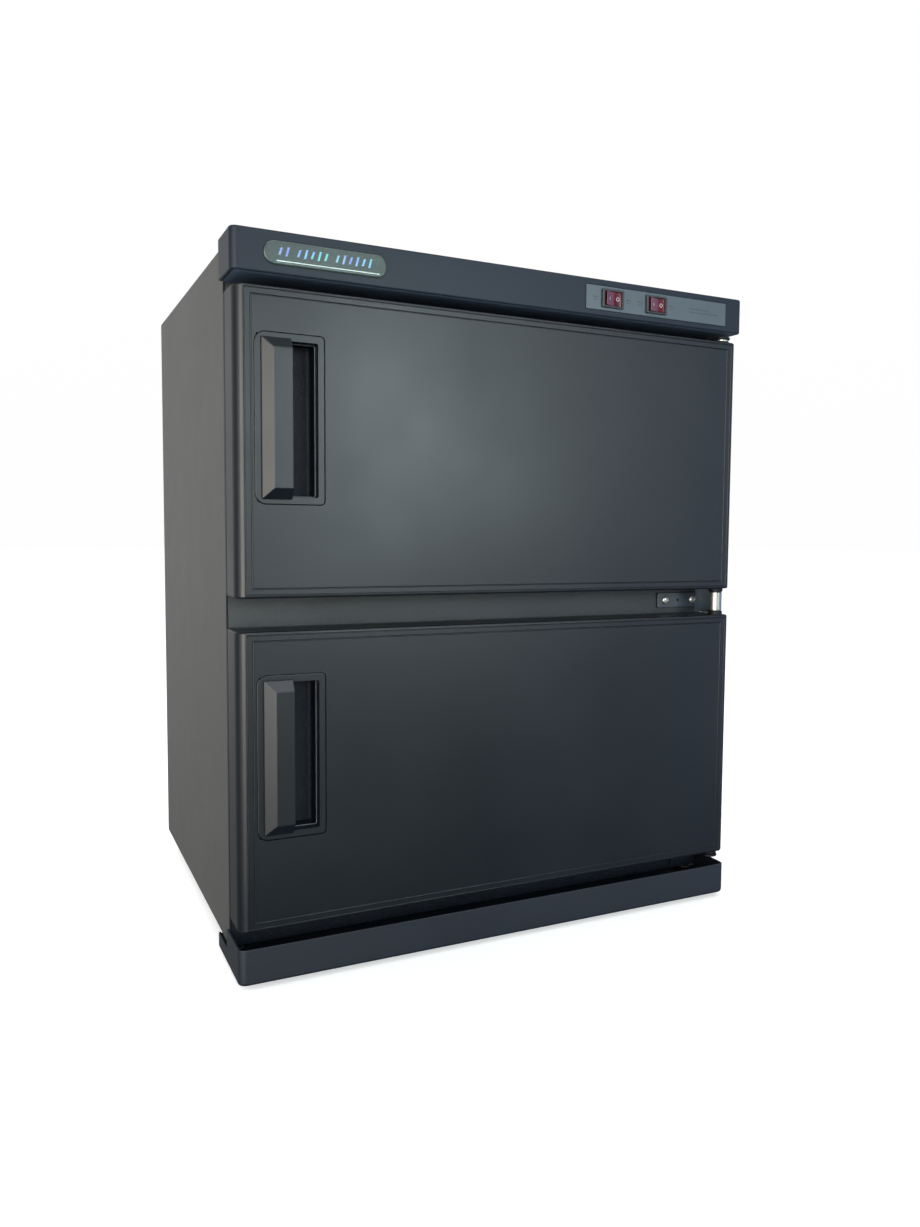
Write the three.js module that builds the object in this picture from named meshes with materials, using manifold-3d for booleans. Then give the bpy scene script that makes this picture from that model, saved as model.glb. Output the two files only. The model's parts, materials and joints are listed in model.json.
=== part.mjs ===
// Two-door hot towel cabinet, in millimetres, +Z up.
// The origin is on the floor at the middle of the cabinet's footprint; the doors face -Y.

import * as THREE from 'three';
import Module from 'manifold-3d';
import { mergeVertices } from 'three/addons/utils/BufferGeometryUtils.js';

const wasm = await Module();
wasm.setup();

// ---------------------------------------------------------------- driving dimensions

const GAP = 0.3; // clearance between pieces that touch
const SHEET = 1; // steel sheet of the case
const LINER_SHEET = 1; // aluminium sheet of the chambers

const BODY_WIDTH = 450;
const BODY_DEPTH = 340;
const BODY_BACK = 195;
const BODY_FRONT = BODY_BACK - BODY_DEPTH;
const BODY_BOTTOM = 17.7;
const BODY_TOP = 558.5;
const CASE_HALF = BODY_WIDTH / 2 - SHEET - GAP; // half-width of what fits inside the wrap

const DOOR_WIDTH = 453;
const DOOR_HEIGHT = 226;
const DOOR_THICKNESS = 38;
const DOOR_FRONT = -190;
const DOOR_BACK = DOOR_FRONT + DOOR_THICKNESS;
const DOOR_WALL = 2.5;
const DOOR_CORNER = 7;
const DOOR_BOTTOMS = { lower: 44.3, upper: 295 };
const DOOR_GAP = [DOOR_BOTTOMS.lower + DOOR_HEIGHT, DOOR_BOTTOMS.upper];

const CHAMBER_WIDTH = 360;
const CHAMBER_HEIGHT = 178;
const CHAMBER_DEPTH = 250;
const CHAMBER_FRONT = BODY_FRONT + SHEET + GAP;
const CHAMBER_BACK = CHAMBER_FRONT + CHAMBER_DEPTH;

const HINGE_X = 216;
const HINGE_Y = DOOR_FRONT + 10;
const PIN_RADIUS = 3;
const BOSS_RADIUS = 6.5;
const BOSS_REACH = 3.3; // how far a hinge boss stands out of a door's top or bottom edge

const HEAD_WIDTH = 458;
const HEAD_FRONT = -192;
const HEAD_BACK = BODY_FRONT - 3;
const HEAD_BOTTOM = 529.5;
const HEAD_TOP = 560;
const HEAD_WALL = 2.5;

const SWITCH_Z = 544.3;
const SWITCH_XS = { uv: 88, heat: 132.7 };
const ROCKER_TILT = THREE.MathUtils.degToRad(8);

const TRAY_WIDTH = 454;
const TRAY_DEPTH = 82;
const TRAY_BOTTOM = 3.5;
const TRAY_FRONT_TOP = 31.5;
const TRAY_REAR_TOP = 16.6;
const TRAY_WALL = 2;

const middleOf = (bottom) => bottom + DOOR_HEIGHT / 2;

// ---------------------------------------------------------------- shapes and solids

const AXIS_FRAMES = {
  x: new THREE.Matrix4().set(0, 0, 1, 0, 1, 0, 0, 0, 0, 1, 0, 0, 0, 0, 0, 1), // outline in (y, z)
  y: new THREE.Matrix4().set(1, 0, 0, 0, 0, 0, -1, 0, 0, 1, 0, 0, 0, 0, 0, 1), // outline in (x, z)
  z: new THREE.Matrix4(), // outline in (x, y)
};

// Extrudes an outline along an axis, from one coordinate to a higher one.
function prism(axis, shape, from, to, curveSegments = 2) {
  const geometry = new THREE.ExtrudeGeometry(shape, {
    depth: to - from,
    bevelEnabled: false,
    curveSegments,
  });
  geometry.applyMatrix4(AXIS_FRAMES[axis]);
  const start = axis === 'y' ? to : from;
  return geometry.translate(
    axis === 'x' ? start : 0,
    axis === 'y' ? start : 0,
    axis === 'z' ? start : 0,
  );
}

function box([x0, x1], [y0, y1], [z0, z1]) {
  const geometry = new THREE.BoxGeometry(x1 - x0, y1 - y0, z1 - z0);
  return geometry.translate((x0 + x1) / 2, (y0 + y1) / 2, (z0 + z1) / 2);
}

function disc(a, b, radius) {
  return new THREE.Shape().absarc(a, b, radius, 0, Math.PI * 2, false);
}

// A round bar along an axis, centred on (a, b) in the other two directions.
function rod(axis, [a, b], radius, [from, to], sides = 16) {
  return prism(axis, disc(a, b, radius), from, to, sides / 2);
}

// A rectangle with its own radius at each corner: low-low, high-low, high-high, low-high.
function roundedRect([a0, a1], [b0, b1], [r00, r10, r11, r01]) {
  const shape = new THREE.Shape();
  const corner = (a, b, radius, start) => {
    if (radius > 0) shape.absarc(a, b, radius, start, start + Math.PI / 2, false);
    else shape.lineTo(a, b);
  };
  shape.moveTo(a0 + r00, b0);
  corner(a1 - r10, b0 + r10, r10, -Math.PI / 2);
  corner(a1 - r11, b1 - r11, r11, 0);
  corner(a0 + r01, b1 - r01, r01, Math.PI / 2);
  if (r00 > 0) shape.absarc(a0 + r00, b0 + r00, r00, Math.PI, Math.PI * 1.5, false);
  return shape;
}

function polygon(points) {
  return new THREE.Shape(points.map(([a, b]) => new THREE.Vector2(a, b)));
}

function toSolid(geometry) {
  const bare = geometry.clone();
  bare.deleteAttribute('normal');
  bare.deleteAttribute('uv');
  const merged = mergeVertices(bare, 1e-4);
  const vertProperties = Float32Array.from(merged.attributes.position.array);
  const triVerts = Uint32Array.from(merged.index.array);
  return new wasm.Manifold(new wasm.Mesh({ numProp: 3, vertProperties, triVerts }));
}

function toGeometry(solid) {
  const { vertProperties, triVerts } = solid.getMesh();
  const geometry = new THREE.BufferGeometry();
  geometry.setAttribute('position', new THREE.BufferAttribute(vertProperties, 3));
  geometry.setIndex(new THREE.BufferAttribute(triVerts, 1));
  return geometry;
}

function join(first, ...others) {
  return toGeometry(others.reduce((whole, other) => whole.add(toSolid(other)), toSolid(first)));
}

function cut(first, ...tools) {
  return toGeometry(tools.reduce((rest, tool) => rest.subtract(toSolid(tool)), toSolid(first)));
}

// ---------------------------------------------------------------- materials and the group

const PALETTE = {
  satinPaint: { color: 0x4a4d50, roughness: 0.45, metalness: 0.1 },
  darkPlastic: { color: 0x3a4046, roughness: 0.5, metalness: 0 },
  headPlastic: { color: 0x343a44, roughness: 0.4, metalness: 0 },
  rubber: { color: 0x17181a, roughness: 0.85, metalness: 0 },
  aluminium: { color: 0xc3c7c9, roughness: 0.35, metalness: 1 },
  bracketPaint: { color: 0x23262a, roughness: 0.5, metalness: 0.2 },
  chrome: { color: 0xdfe3e6, roughness: 0.12, metalness: 1 },
  silverPlate: { color: 0x9aa6b5, roughness: 0.4, metalness: 0.6 },
  badgeFoil: { color: 0x6d8276, roughness: 0.3, metalness: 0.6 },
  redRocker: { color: 0xa01818, roughness: 0.25, metalness: 0 },
  switchBlack: { color: 0x1b1c1f, roughness: 0.4, metalness: 0 },
  foam: { color: 0xe3ddc8, roughness: 0.95, metalness: 0 },
  heaterRubber: { color: 0xb4532a, roughness: 0.7, metalness: 0 },
  lampGlass: { color: 0xdfe9f5, roughness: 0.08, metalness: 0 },
  whiteCeramic: { color: 0xe9e7e0, roughness: 0.5, metalness: 0 },
  whitePlastic: { color: 0xd9dad6, roughness: 0.35, metalness: 0 },
  zincSteel: { color: 0x9fa3a6, roughness: 0.35, metalness: 0.9 },
};

const cabinet = new THREE.Group();

function add(name, geometry, finish) {
  const mesh = new THREE.Mesh(geometry, new THREE.MeshStandardMaterial(PALETTE[finish]));
  mesh.name = name;
  cabinet.add(mesh);
}

// ---------------------------------------------------------------- case

const SCREW_X = 215.5;
const BACK_SCREW_ZS = { bottom: 45, top: 531 };
const REAR_FLANGE = 15;
const SCREW_CLEARANCE = 2.1;
const INLET_X = 150;
const INLET_Z = 60;

function eachBackScrew(make) {
  return [-SCREW_X, SCREW_X].flatMap((x) => Object.values(BACK_SCREW_ZS).map((z) => make(x, z)));
}

// The wrap is one sheet folded into the top and both sides, with a flange at the back edges.
function makeOuterWrap() {
  const half = BODY_WIDTH / 2;
  const outline = polygon([
    [-half, BODY_BOTTOM],
    [-half + SHEET, BODY_BOTTOM],
    [-half + SHEET, BODY_TOP - SHEET],
    [half - SHEET, BODY_TOP - SHEET],
    [half - SHEET, BODY_BOTTOM],
    [half, BODY_BOTTOM],
    [half, BODY_TOP],
    [-half, BODY_TOP],
  ]);
  const flangeBack = BODY_BACK - SHEET - GAP;
  const flangeY = [flangeBack - SHEET, flangeBack];
  const inner = half - SHEET / 2;
  const flanges = [-1, 1].map((side) => {
    const xs = [side * inner, side * (half - REAR_FLANGE)].sort((a, b) => a - b);
    return box(xs, flangeY, [BODY_BOTTOM + 4, BODY_TOP - 4]);
  });
  const through = [flangeY[0] - 1, flangeY[1] + 1];
  const holes = eachBackScrew((x, z) => rod('y', [x, z], SCREW_CLEARANCE, through));
  const folded = join(prism('y', outline, BODY_FRONT, BODY_BACK), ...flanges);
  add('outer_wrap', cut(folded, ...holes), 'satinPaint');
}

// The face sheet between the wrap's front edges, with one window per chamber.
function makeFrontFrame() {
  const ys = [BODY_FRONT, BODY_FRONT + SHEET];
  const face = box([-CASE_HALF, CASE_HALF], ys, [BODY_BOTTOM, BODY_TOP - SHEET - GAP]);
  const windows = Object.values(DOOR_BOTTOMS).map((bottom) => {
    const middle = middleOf(bottom);
    const zs = [middle - CHAMBER_HEIGHT / 2, middle + CHAMBER_HEIGHT / 2];
    return box([-CHAMBER_WIDTH / 2, CHAMBER_WIDTH / 2], [ys[0] - 1, ys[1] + 1], zs);
  });
  add('front_frame', cut(face, ...windows), 'satinPaint');
}

const VENT = { count: 8, pitch: 14, length: 42, width: 4 };

function ventSlots(ys) {
  const end = VENT.width / 2;
  return [470, 110].flatMap((z) =>
    Array.from({ length: VENT.count }, (_, i) => {
      const x = (i - (VENT.count - 1) / 2) * VENT.pitch;
      const radii = [end, end, end, end];
      return prism('y', roundedRect([x - end, x + end], [z, z + VENT.length], radii), ...ys);
    }),
  );
}

function makeBackPanel() {
  const ys = [BODY_BACK - SHEET, BODY_BACK];
  const through = [ys[0] - 1, ys[1] + 1];
  const panel = box([-CASE_HALF, CASE_HALF], ys, [BODY_BOTTOM + SHEET + GAP, BODY_TOP - SHEET - GAP]);
  const inletHole = box(
    [INLET_X - INLET.width / 2 - GAP, INLET_X + INLET.width / 2 + GAP],
    through,
    [INLET_Z - INLET.height / 2 - GAP, INLET_Z + INLET.height / 2 + GAP],
  );
  const screwHoles = eachBackScrew((x, z) => rod('y', [x, z], SCREW_CLEARANCE, through));
  add('back_panel', cut(panel, inletHole, ...screwHoles, ...ventSlots(through)), 'satinPaint');
}

function makeBackScrews() {
  const head = { radius: 4, from: BODY_BACK + GAP, to: 197 };
  const shank = { radius: 1.7, length: 9 };
  for (const [side, x] of [['left', -SCREW_X], ['right', SCREW_X]]) {
    for (const [level, z] of Object.entries(BACK_SCREW_ZS)) {
      const screw = join(
        rod('y', [x, z], head.radius, [head.from, head.to]),
        rod('y', [x, z], shank.radius, [head.from - shank.length, head.from + 1], 12),
      );
      add(`back_screw_${level}_${side}`, screw, 'zincSteel');
    }
  }
}

function makeBasePan() {
  const ys = [BODY_FRONT + SHEET + GAP, BODY_BACK - SHEET * 2 - GAP * 2];
  const lip = 12;
  const floor = box([-CASE_HALF, CASE_HALF], ys, [BODY_BOTTOM, BODY_BOTTOM + SHEET]);
  const lips = [-1, 1].map((side) => {
    const xs = [side * CASE_HALF, side * (CASE_HALF - SHEET)].sort((a, b) => a - b);
    return box(xs, [ys[0], ys[1] - SHEET], [BODY_BOTTOM, BODY_BOTTOM + lip]);
  });
  add('base_pan', join(floor, ...lips), 'satinPaint');
}

function makeFeet() {
  const top = BODY_BOTTOM - GAP;
  const footX = 185;
  for (const [side, x] of [['left', -footX], ['right', footX]]) {
    for (const [end, y] of [['front', -82], ['back', 165]]) {
      const profile = [[0, 0], [12, 0], [14, top], [0, top]].map(([r, z]) => new THREE.Vector2(r, z));
      const foot = new THREE.LatheGeometry(profile, 20).rotateX(Math.PI / 2).translate(x, y, 0);
      add(`foot_${end}_${side}`, foot, 'rubber');
    }
  }
}

// ---------------------------------------------------------------- power inlet and wiring boxes

const INLET = { width: 27, height: 19.8, depth: 18, flange: 2, rim: 2 };
const INLET_PIN = { width: 2, height: 4, length: 12, spread: 7, earthRise: 3.5 };

// A three-pin appliance inlet: its socket opens to the back.
function makePowerInlet() {
  const face = BODY_BACK + INLET.flange;
  const centred = (middle, size) => [middle - size / 2, middle + size / 2];
  const body = box(
    centred(INLET_X, INLET.width - GAP),
    [face - INLET.depth, face - INLET.flange + GAP * 2],
    centred(INLET_Z, INLET.height - GAP),
  );
  const flange = box(
    centred(INLET_X, INLET.width + 4),
    [BODY_BACK + GAP, face],
    centred(INLET_Z, INLET.height + 4),
  );
  const socket = box(
    centred(INLET_X, INLET.width - INLET.rim * 2),
    [face - INLET.depth + INLET.rim, face + 1],
    centred(INLET_Z, INLET.height - INLET.rim * 2),
  );
  const floorY = face - INLET.depth + INLET.rim;
  const pins = [[-1, -1], [0, 1], [1, -1]].map(([column, row]) =>
    box(
      centred(INLET_X + column * INLET_PIN.spread, INLET_PIN.width),
      [floorY - 1, floorY + INLET_PIN.length],
      centred(INLET_Z + (row * INLET_PIN.earthRise) / 2, INLET_PIN.height),
    ),
  );
  add('power_inlet', join(cut(join(body, flange), socket), ...pins), 'switchBlack');
}

function makeTerminalBlock() {
  const bottom = BODY_BOTTOM + SHEET + GAP;
  const block = box([60, 112], [150, 170], [bottom, bottom + 16]);
  const slots = [0, 1, 2, 3].map((i) => {
    const x = 67 + i * 12.5;
    return rod('z', [x, 160], 3, [bottom + 6, bottom + 20], 12);
  });
  add('terminal_block', cut(block, ...slots), 'whiteCeramic');
}

function makeLampBallast() {
  const ys = [158, BODY_BACK - SHEET - GAP];
  const core = box([-150, -90], ys, [430, 466]);
  const foot = box([-160, -80], [ys[1] - 2, ys[1]], [434, 462]);
  add('uv_lamp_ballast', join(core, foot), 'zincSteel');
}

// ---------------------------------------------------------------- chambers

const LINER_FLANGE = 10;
const HEATER_THICKNESS = 2;

function chamberZs(level) {
  const middle = middleOf(DOOR_BOTTOMS[level]);
  return [middle - CHAMBER_HEIGHT / 2, middle + CHAMBER_HEIGHT / 2];
}

// An open-fronted sheet box whose front flange lies behind the face sheet.
function makeLiner(level) {
  const [z0, z1] = chamberZs(level);
  const half = CHAMBER_WIDTH / 2;
  const grow = (amount) => [[-half - amount, half + amount], [z0 - amount, z1 + amount]];
  const [outerX, outerZ] = grow(LINER_SHEET);
  const [flangeX, flangeZ] = grow(LINER_FLANGE);
  const [innerX, innerZ] = grow(0);
  const shell = box(outerX, [CHAMBER_FRONT, CHAMBER_BACK + LINER_SHEET], outerZ);
  const flange = box(flangeX, [CHAMBER_FRONT, CHAMBER_FRONT + LINER_SHEET], flangeZ);
  const inside = box(innerX, [CHAMBER_FRONT - 1, CHAMBER_BACK], innerZ);
  add(`${level}_chamber_liner`, cut(join(shell, flange), inside), 'aluminium');
}

function heaterZs(level) {
  const top = chamberZs(level)[0] - LINER_SHEET - GAP;
  return [top - HEATER_THICKNESS, top];
}

function makeHeaterPad(level) {
  add(`${level}_heater_pad`, box([-160, 160], [-110, 90], heaterZs(level)), 'heaterRubber');
}

// A snap-disc thermostat on the liner's back wall.
function makeThermostat(level) {
  const z = middleOf(DOOR_BOTTOMS[level]);
  const back = CHAMBER_BACK + LINER_SHEET + GAP;
  const body = rod('y', [-40, z], 8, [back, back + 10]);
  const flange = box([-52, -28], [back, back + 1.2], [z - 4, z + 4]);
  const blades = [-3.5, 3.5].map((offset) =>
    box([-40 + offset - 0.4, -40 + offset + 0.4], [back + 9, back + 18], [z - 3, z + 3]),
  );
  add(`${level}_thermostat`, join(body, flange, ...blades), 'switchBlack');
}

function makeThermalFuse() {
  const [, padTop] = heaterZs('upper');
  const z = padTop - HEATER_THICKNESS - GAP - 2.2;
  const body = rod('x', [0, z], 2, [80, 92], 12);
  const leads = rod('x', [0, z], 0.6, [68, 104], 8);
  add('thermal_fuse', join(body, leads), 'whiteCeramic');
}

// Glass wool round the sides, top and bottom of both liners, hollow between the chambers.
function makeInsulation() {
  const thickness = 20;
  const side = CHAMBER_WIDTH / 2 + LINER_SHEET + GAP;
  const underLiner = LINER_SHEET + HEATER_THICKNESS + 6;
  const [lower0, lower1] = chamberZs('lower');
  const [upper0, upper1] = chamberZs('upper');
  const ys = [CHAMBER_FRONT + LINER_SHEET + GAP, CHAMBER_BACK - 2];
  const outerX = [-side - thickness, side + thickness];
  const block = box(outerX, ys, [lower0 - underLiner - thickness, upper1 + LINER_SHEET + GAP + thickness]);
  const pockets = [
    [lower0 - underLiner, lower1 + LINER_SHEET + GAP],
    [lower1 + LINER_SHEET + GAP + thickness, upper0 - underLiner - thickness],
    [upper0 - underLiner, upper1 + LINER_SHEET + GAP],
  ].map((zs) => box([-side, side], [ys[0] - 1, ys[1] + 1], zs));
  add('insulation_blanket', cut(block, ...pockets), 'foam');
}

// ---------------------------------------------------------------- ultraviolet lamp

const LAMP = { radius: 7.75, half: 66.9, y: 40, drop: 19 };

function makeLamp() {
  const ceiling = chamberZs('upper')[1] - GAP;
  const z = ceiling - LAMP.drop;
  const holder = { inner: LAMP.half + GAP, outer: LAMP.half + 9 };
  add('uv_lamp_tube', rod('x', [LAMP.y, z], LAMP.radius, [-LAMP.half, LAMP.half]), 'lampGlass');
  for (const [side, sign] of [['left', -1], ['right', 1]]) {
    const xs = [sign * holder.inner, sign * holder.outer].sort((a, b) => a - b);
    const body = box(xs, [LAMP.y - 9, LAMP.y + 9], [z - 9, ceiling]);
    add(`uv_lamp_holder_${side}`, body, 'whiteCeramic');
  }
  makeLampGuard(ceiling);
}

// A slotted channel under the lamp, open upwards and fixed to the ceiling by its two lips.
function makeLampGuard(ceiling) {
  const depth = 32;
  const half = 22;
  const lip = 8;
  const wall = 1.2;
  const bottom = ceiling - depth;
  const y = LAMP.y;
  const outline = polygon([
    [y - half - lip, ceiling - wall],
    [y - half, ceiling - wall],
    [y - half, bottom],
    [y + half, bottom],
    [y + half, ceiling - wall],
    [y + half + lip, ceiling - wall],
    [y + half + lip, ceiling],
    [y + half - wall, ceiling],
    [y + half - wall, bottom + wall],
    [y - half + wall, bottom + wall],
    [y - half + wall, ceiling],
    [y - half - lip, ceiling],
  ]);
  const slots = Array.from({ length: 9 }, (_, i) => {
    const x = (i - 4) * 17;
    return box([x - 4, x + 4], [y - 16, y + 16], [bottom - 1, bottom + wall + 1]);
  });
  add('uv_lamp_guard', cut(prism('x', outline, -84, 84), ...slots), 'aluminium');
}

// ---------------------------------------------------------------- wire racks

const RACK = { half: 172, front: CHAMBER_FRONT + 14, back: CHAMBER_BACK - 6, rise: 18, frame: 2, bar: 1.5 };
const RACK_BARS = 11;

function makeRack(level) {
  const floor = chamberZs(level)[0] + GAP;
  const z = floor + RACK.rise;
  const { half, front, back, frame, bar } = RACK;
  const edges = [
    rod('y', [-half, z], frame, [front - frame, back + frame], 8),
    rod('y', [half, z], frame, [front - frame, back + frame], 8),
    rod('x', [front, z], frame, [-half, half], 8),
    rod('x', [back, z], frame, [-half, half], 8),
  ];
  const bars = Array.from({ length: RACK_BARS }, (_, i) => {
    const x = (i + 1) * ((half * 2) / (RACK_BARS + 1)) - half;
    return rod('y', [x, z], bar, [front, back], 6);
  });
  const legX = half - 24;
  const legs = [-legX, legX].flatMap((x) => [
    rod('y', [x, floor + frame], frame, [front + 18, back - 18], 8),
    rod('z', [x, front + 20], frame, [floor, z], 8),
    rod('z', [x, back - 20], frame, [floor, z], 8),
    rod('y', [x, z], frame, [front, front + 22], 8),
    rod('y', [x, z], frame, [back - 22, back], 8),
  ]);
  add(`${level}_rack`, join(...edges, ...bars, ...legs), 'chrome');
}

// ---------------------------------------------------------------- head with the switches

const HEAD_CORNER = 5.5;
const SWITCH_PANEL = { x: [62.4, 209.4], height: 20, thickness: 0.8, recess: 0.5 };
const BEZEL = { width: 21.6, height: 15.4, thickness: 2 };
const HOUSING = { width: 19.2, height: 13.4, depth: 24 };
const ROCKER_WINDOW = { width: 17.2, height: 12.4 };

function headOutline(inset) {
  const half = HEAD_WIDTH / 2 - inset;
  const radius = HEAD_CORNER - inset / 2;
  const back = HEAD_BACK + (inset ? 1 : 0);
  return roundedRect([-half, half], [HEAD_FRONT + inset, back], [radius, radius, 0, 0]);
}

function makeHeadFascia() {
  const shell = prism('z', headOutline(0), HEAD_BOTTOM, HEAD_TOP);
  const hollow = prism('z', headOutline(HEAD_WALL), HEAD_BOTTOM + HEAD_WALL, HEAD_TOP - HEAD_WALL);
  const [x0, x1] = SWITCH_PANEL.x;
  const halfHeight = SWITCH_PANEL.height / 2;
  const recess = box(
    [x0 - GAP, x1 + GAP],
    [HEAD_FRONT - 1, HEAD_FRONT + SWITCH_PANEL.recess],
    [SWITCH_Z - halfHeight - GAP, SWITCH_Z + halfHeight + GAP],
  );
  add('head_fascia', cut(shell, hollow, recess, ...switchHoles()), 'headPlastic');
}

function switchHoles() {
  return Object.values(SWITCH_XS).map((x) => {
    const halfWidth = HOUSING.width / 2 + GAP;
    const halfHeight = HOUSING.height / 2 + GAP;
    const ys = [HEAD_FRONT - 3, HEAD_FRONT + HEAD_WALL + 1];
    return box([x - halfWidth, x + halfWidth], ys, [SWITCH_Z - halfHeight, SWITCH_Z + halfHeight]);
  });
}

const PANEL_BACK = HEAD_FRONT + SWITCH_PANEL.recess - GAP;
const PANEL_FRONT = PANEL_BACK - SWITCH_PANEL.thickness;

function makeSwitchPanel() {
  const halfHeight = SWITCH_PANEL.height / 2;
  const zs = [SWITCH_Z - halfHeight, SWITCH_Z + halfHeight];
  const plate = box(SWITCH_PANEL.x, [PANEL_FRONT, PANEL_BACK], zs);
  add('switch_panel', cut(plate, ...switchHoles()), 'silverPlate');
}

function makeBadge() {
  const radii = [8, 8, 8, 8];
  const outline = roundedRect([-205.7, -113.3], [SWITCH_Z - 8.5, SWITCH_Z + 8.5], radii);
  const back = HEAD_FRONT - GAP;
  add('head_badge', prism('y', outline, back - 1.2, back, 4), 'badgeFoil');
}

const ROCKER = { half: 7.9, height: 11.8, axisDepth: 2.2, rise: 2.9, dip: 1.8, back: 4, trunnion: 1 };
const ROCKER_AXIS_Y = PANEL_FRONT - GAP - BEZEL.thickness + ROCKER.axisDepth;

// The switch body: a bezel in front of the plate and a hollow block behind it.
function makeSwitchHousing(name, x) {
  const front = PANEL_FRONT - GAP - BEZEL.thickness;
  const around = (size) => [x - size / 2, x + size / 2];
  const upright = (size) => [SWITCH_Z - size / 2, SWITCH_Z + size / 2];
  const bezel = box(around(BEZEL.width), [front, front + BEZEL.thickness], upright(BEZEL.height));
  const body = box(around(HOUSING.width), [front + 1, front + HOUSING.depth], upright(HOUSING.height));
  const well = box(around(ROCKER_WINDOW.width), [front - 1, front + 10], upright(ROCKER_WINDOW.height));
  const bearing = rod('z', [x, ROCKER_AXIS_Y], 0.95, upright(ROCKER_WINDOW.height + 0.7), 12);
  const blades = [-5, 0, 5].map((offset) =>
    box(
      [x + offset - 0.4, x + offset + 0.4],
      [front + HOUSING.depth - 1, front + HOUSING.depth + 8],
      [SWITCH_Z - 2.4, SWITCH_Z + 2.4],
    ),
  );
  add(name, join(cut(join(bezel, body), well, bearing), ...blades), 'switchBlack');
}

// The paddle's front is a shallow V. At rest its right-hand end is pressed in, which is off.
function makeRocker(name, x) {
  const { half, height, rise, dip, back, trunnion } = ROCKER;
  const profile = polygon([
    [-half, -rise],
    [0, -dip],
    [half, -rise],
    [half - 1, back - 1],
    [half - 3, back],
    [-half + 3, back],
    [-half + 1, back - 1],
  ]);
  const paddle = prism('z', profile, -height / 2, height / 2);
  const pivot = rod('z', [0, 0], 0.6, [-height / 2 - trunnion / 2, height / 2 + trunnion / 2], 8);
  const geometry = join(paddle, pivot).rotateZ(ROCKER_TILT).translate(x, ROCKER_AXIS_Y, SWITCH_Z);
  add(name, geometry, 'redRocker');
}

// ---------------------------------------------------------------- door hinges

const BRACKET_Y = [BODY_FRONT - GAP - 2, BODY_FRONT - GAP];
const BARREL = {
  radius: 5.75,
  bottom: DOOR_GAP[0] + BOSS_REACH + GAP,
  top: DOOR_GAP[1] - BOSS_REACH - GAP,
};
const MID_BRACKET = { x: [173, 220.5], z: [275, 289], screws: [182, 213.5], screwZ: 282 };
const ARM = { thickness: 2.5, clearance: 1.2 };

function pin(from, to) {
  return rod('z', [HINGE_X, HINGE_Y], PIN_RADIUS, [from, to]);
}

// A folded plate: the upright leg is on the face sheet, the level tongue carries the pin.
function makeEndHinge(name, { legZs, tongueZs, pinZs }) {
  const radius = 9;
  const xs = [HINGE_X - radius, HINGE_X + radius];
  const leg = box([xs[0] - 12, xs[1] - 3], BRACKET_Y, legZs);
  const tongueOutline = roundedRect(xs, [HINGE_Y - radius, BRACKET_Y[1]], [8, 8, 0, 0]);
  const tongue = prism('z', tongueOutline, ...tongueZs);
  add(name, join(leg, tongue, pin(...pinZs)), 'zincSteel');
}

function makeEndHinges() {
  const plate = 2;
  const pinReach = 10;
  const doorTop = DOOR_BOTTOMS.upper + DOOR_HEIGHT;
  const topPlate = doorTop + 3.5;
  makeEndHinge('top_hinge_plate', {
    legZs: [topPlate, 550],
    tongueZs: [topPlate, topPlate + plate],
    pinZs: [doorTop - pinReach, topPlate + 1],
  });
  const doorBottom = DOOR_BOTTOMS.lower;
  const lowPlate = doorBottom - 3.8 - plate;
  makeEndHinge('bottom_hinge_plate', {
    legZs: [21, lowPlate + plate],
    tongueZs: [lowPlate, lowPlate + plate],
    pinZs: [lowPlate + 1, doorBottom + pinReach],
  });
}

function makeMidBracket() {
  const [x0, x1] = MID_BRACKET.x;
  const plate = box([x0, x1], BRACKET_Y, MID_BRACKET.z);
  const armZs = [DOOR_GAP[0] + ARM.clearance, DOOR_GAP[1] - ARM.clearance];
  const arm = box([x1 - ARM.thickness, x1], [HINGE_Y + BOSS_RADIUS + GAP, BRACKET_Y[1]], armZs);
  const screwHoles = MID_BRACKET.screws.map((x) =>
    rod('y', [x, MID_BRACKET.screwZ], 2, [BRACKET_Y[0] - 1, BRACKET_Y[1] + 1]),
  );
  const pilot = rod('y', [196, MID_BRACKET.screwZ], 1.2, [BRACKET_Y[0] - 1, BRACKET_Y[1] + 1], 8);
  add('mid_hinge_bracket', cut(join(plate, arm), ...screwHoles, pilot), 'bracketPaint');
  const barrel = rod('z', [HINGE_X, HINGE_Y], BARREL.radius, [BARREL.bottom, BARREL.top], 24);
  const pinEnds = pin(DOOR_GAP[0] - 7, DOOR_GAP[1] + 8);
  add('mid_hinge_barrel', join(barrel, pinEnds), 'chrome');
}

function makeBracketScrews() {
  const back = BRACKET_Y[0] - GAP;
  for (const [side, x] of [['left', MID_BRACKET.screws[0]], ['right', MID_BRACKET.screws[1]]]) {
    const head = rod('y', [x, MID_BRACKET.screwZ], 4, [back - 2, back]);
    const shank = rod('y', [x, MID_BRACKET.screwZ], 1.6, [back - 1, BODY_FRONT - GAP], 12);
    add(`mid_bracket_screw_${side}`, join(head, shank), 'chrome');
  }
}

// ---------------------------------------------------------------- doors

const HANDLE = { x: [-212.4, -160.6], below: 32.5, height: 124.5, flange: 2, depth: 25, wall: 2 };
const GRIP = { x: [-207.7, -185.8], height: 117.1, proud: 7, bevel: 8 };
const POCKET = { x: [-186, -165.6], height: 113.5, under: -206 };
const PIN_HOLE_RADIUS = PIN_RADIUS + GAP;

function handleMiddle(bottom) {
  return bottom + DOOR_HEIGHT - HANDLE.below - HANDLE.height / 2;
}

function handleOutline(bottom, grow) {
  const middle = handleMiddle(bottom);
  const halfHeight = HANDLE.height / 2 + grow;
  const xs = [HANDLE.x[0] - grow, HANDLE.x[1] + grow];
  return roundedRect(xs, [middle - halfHeight, middle + halfHeight], [8, 3.5, 3.5, 8]);
}

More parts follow.
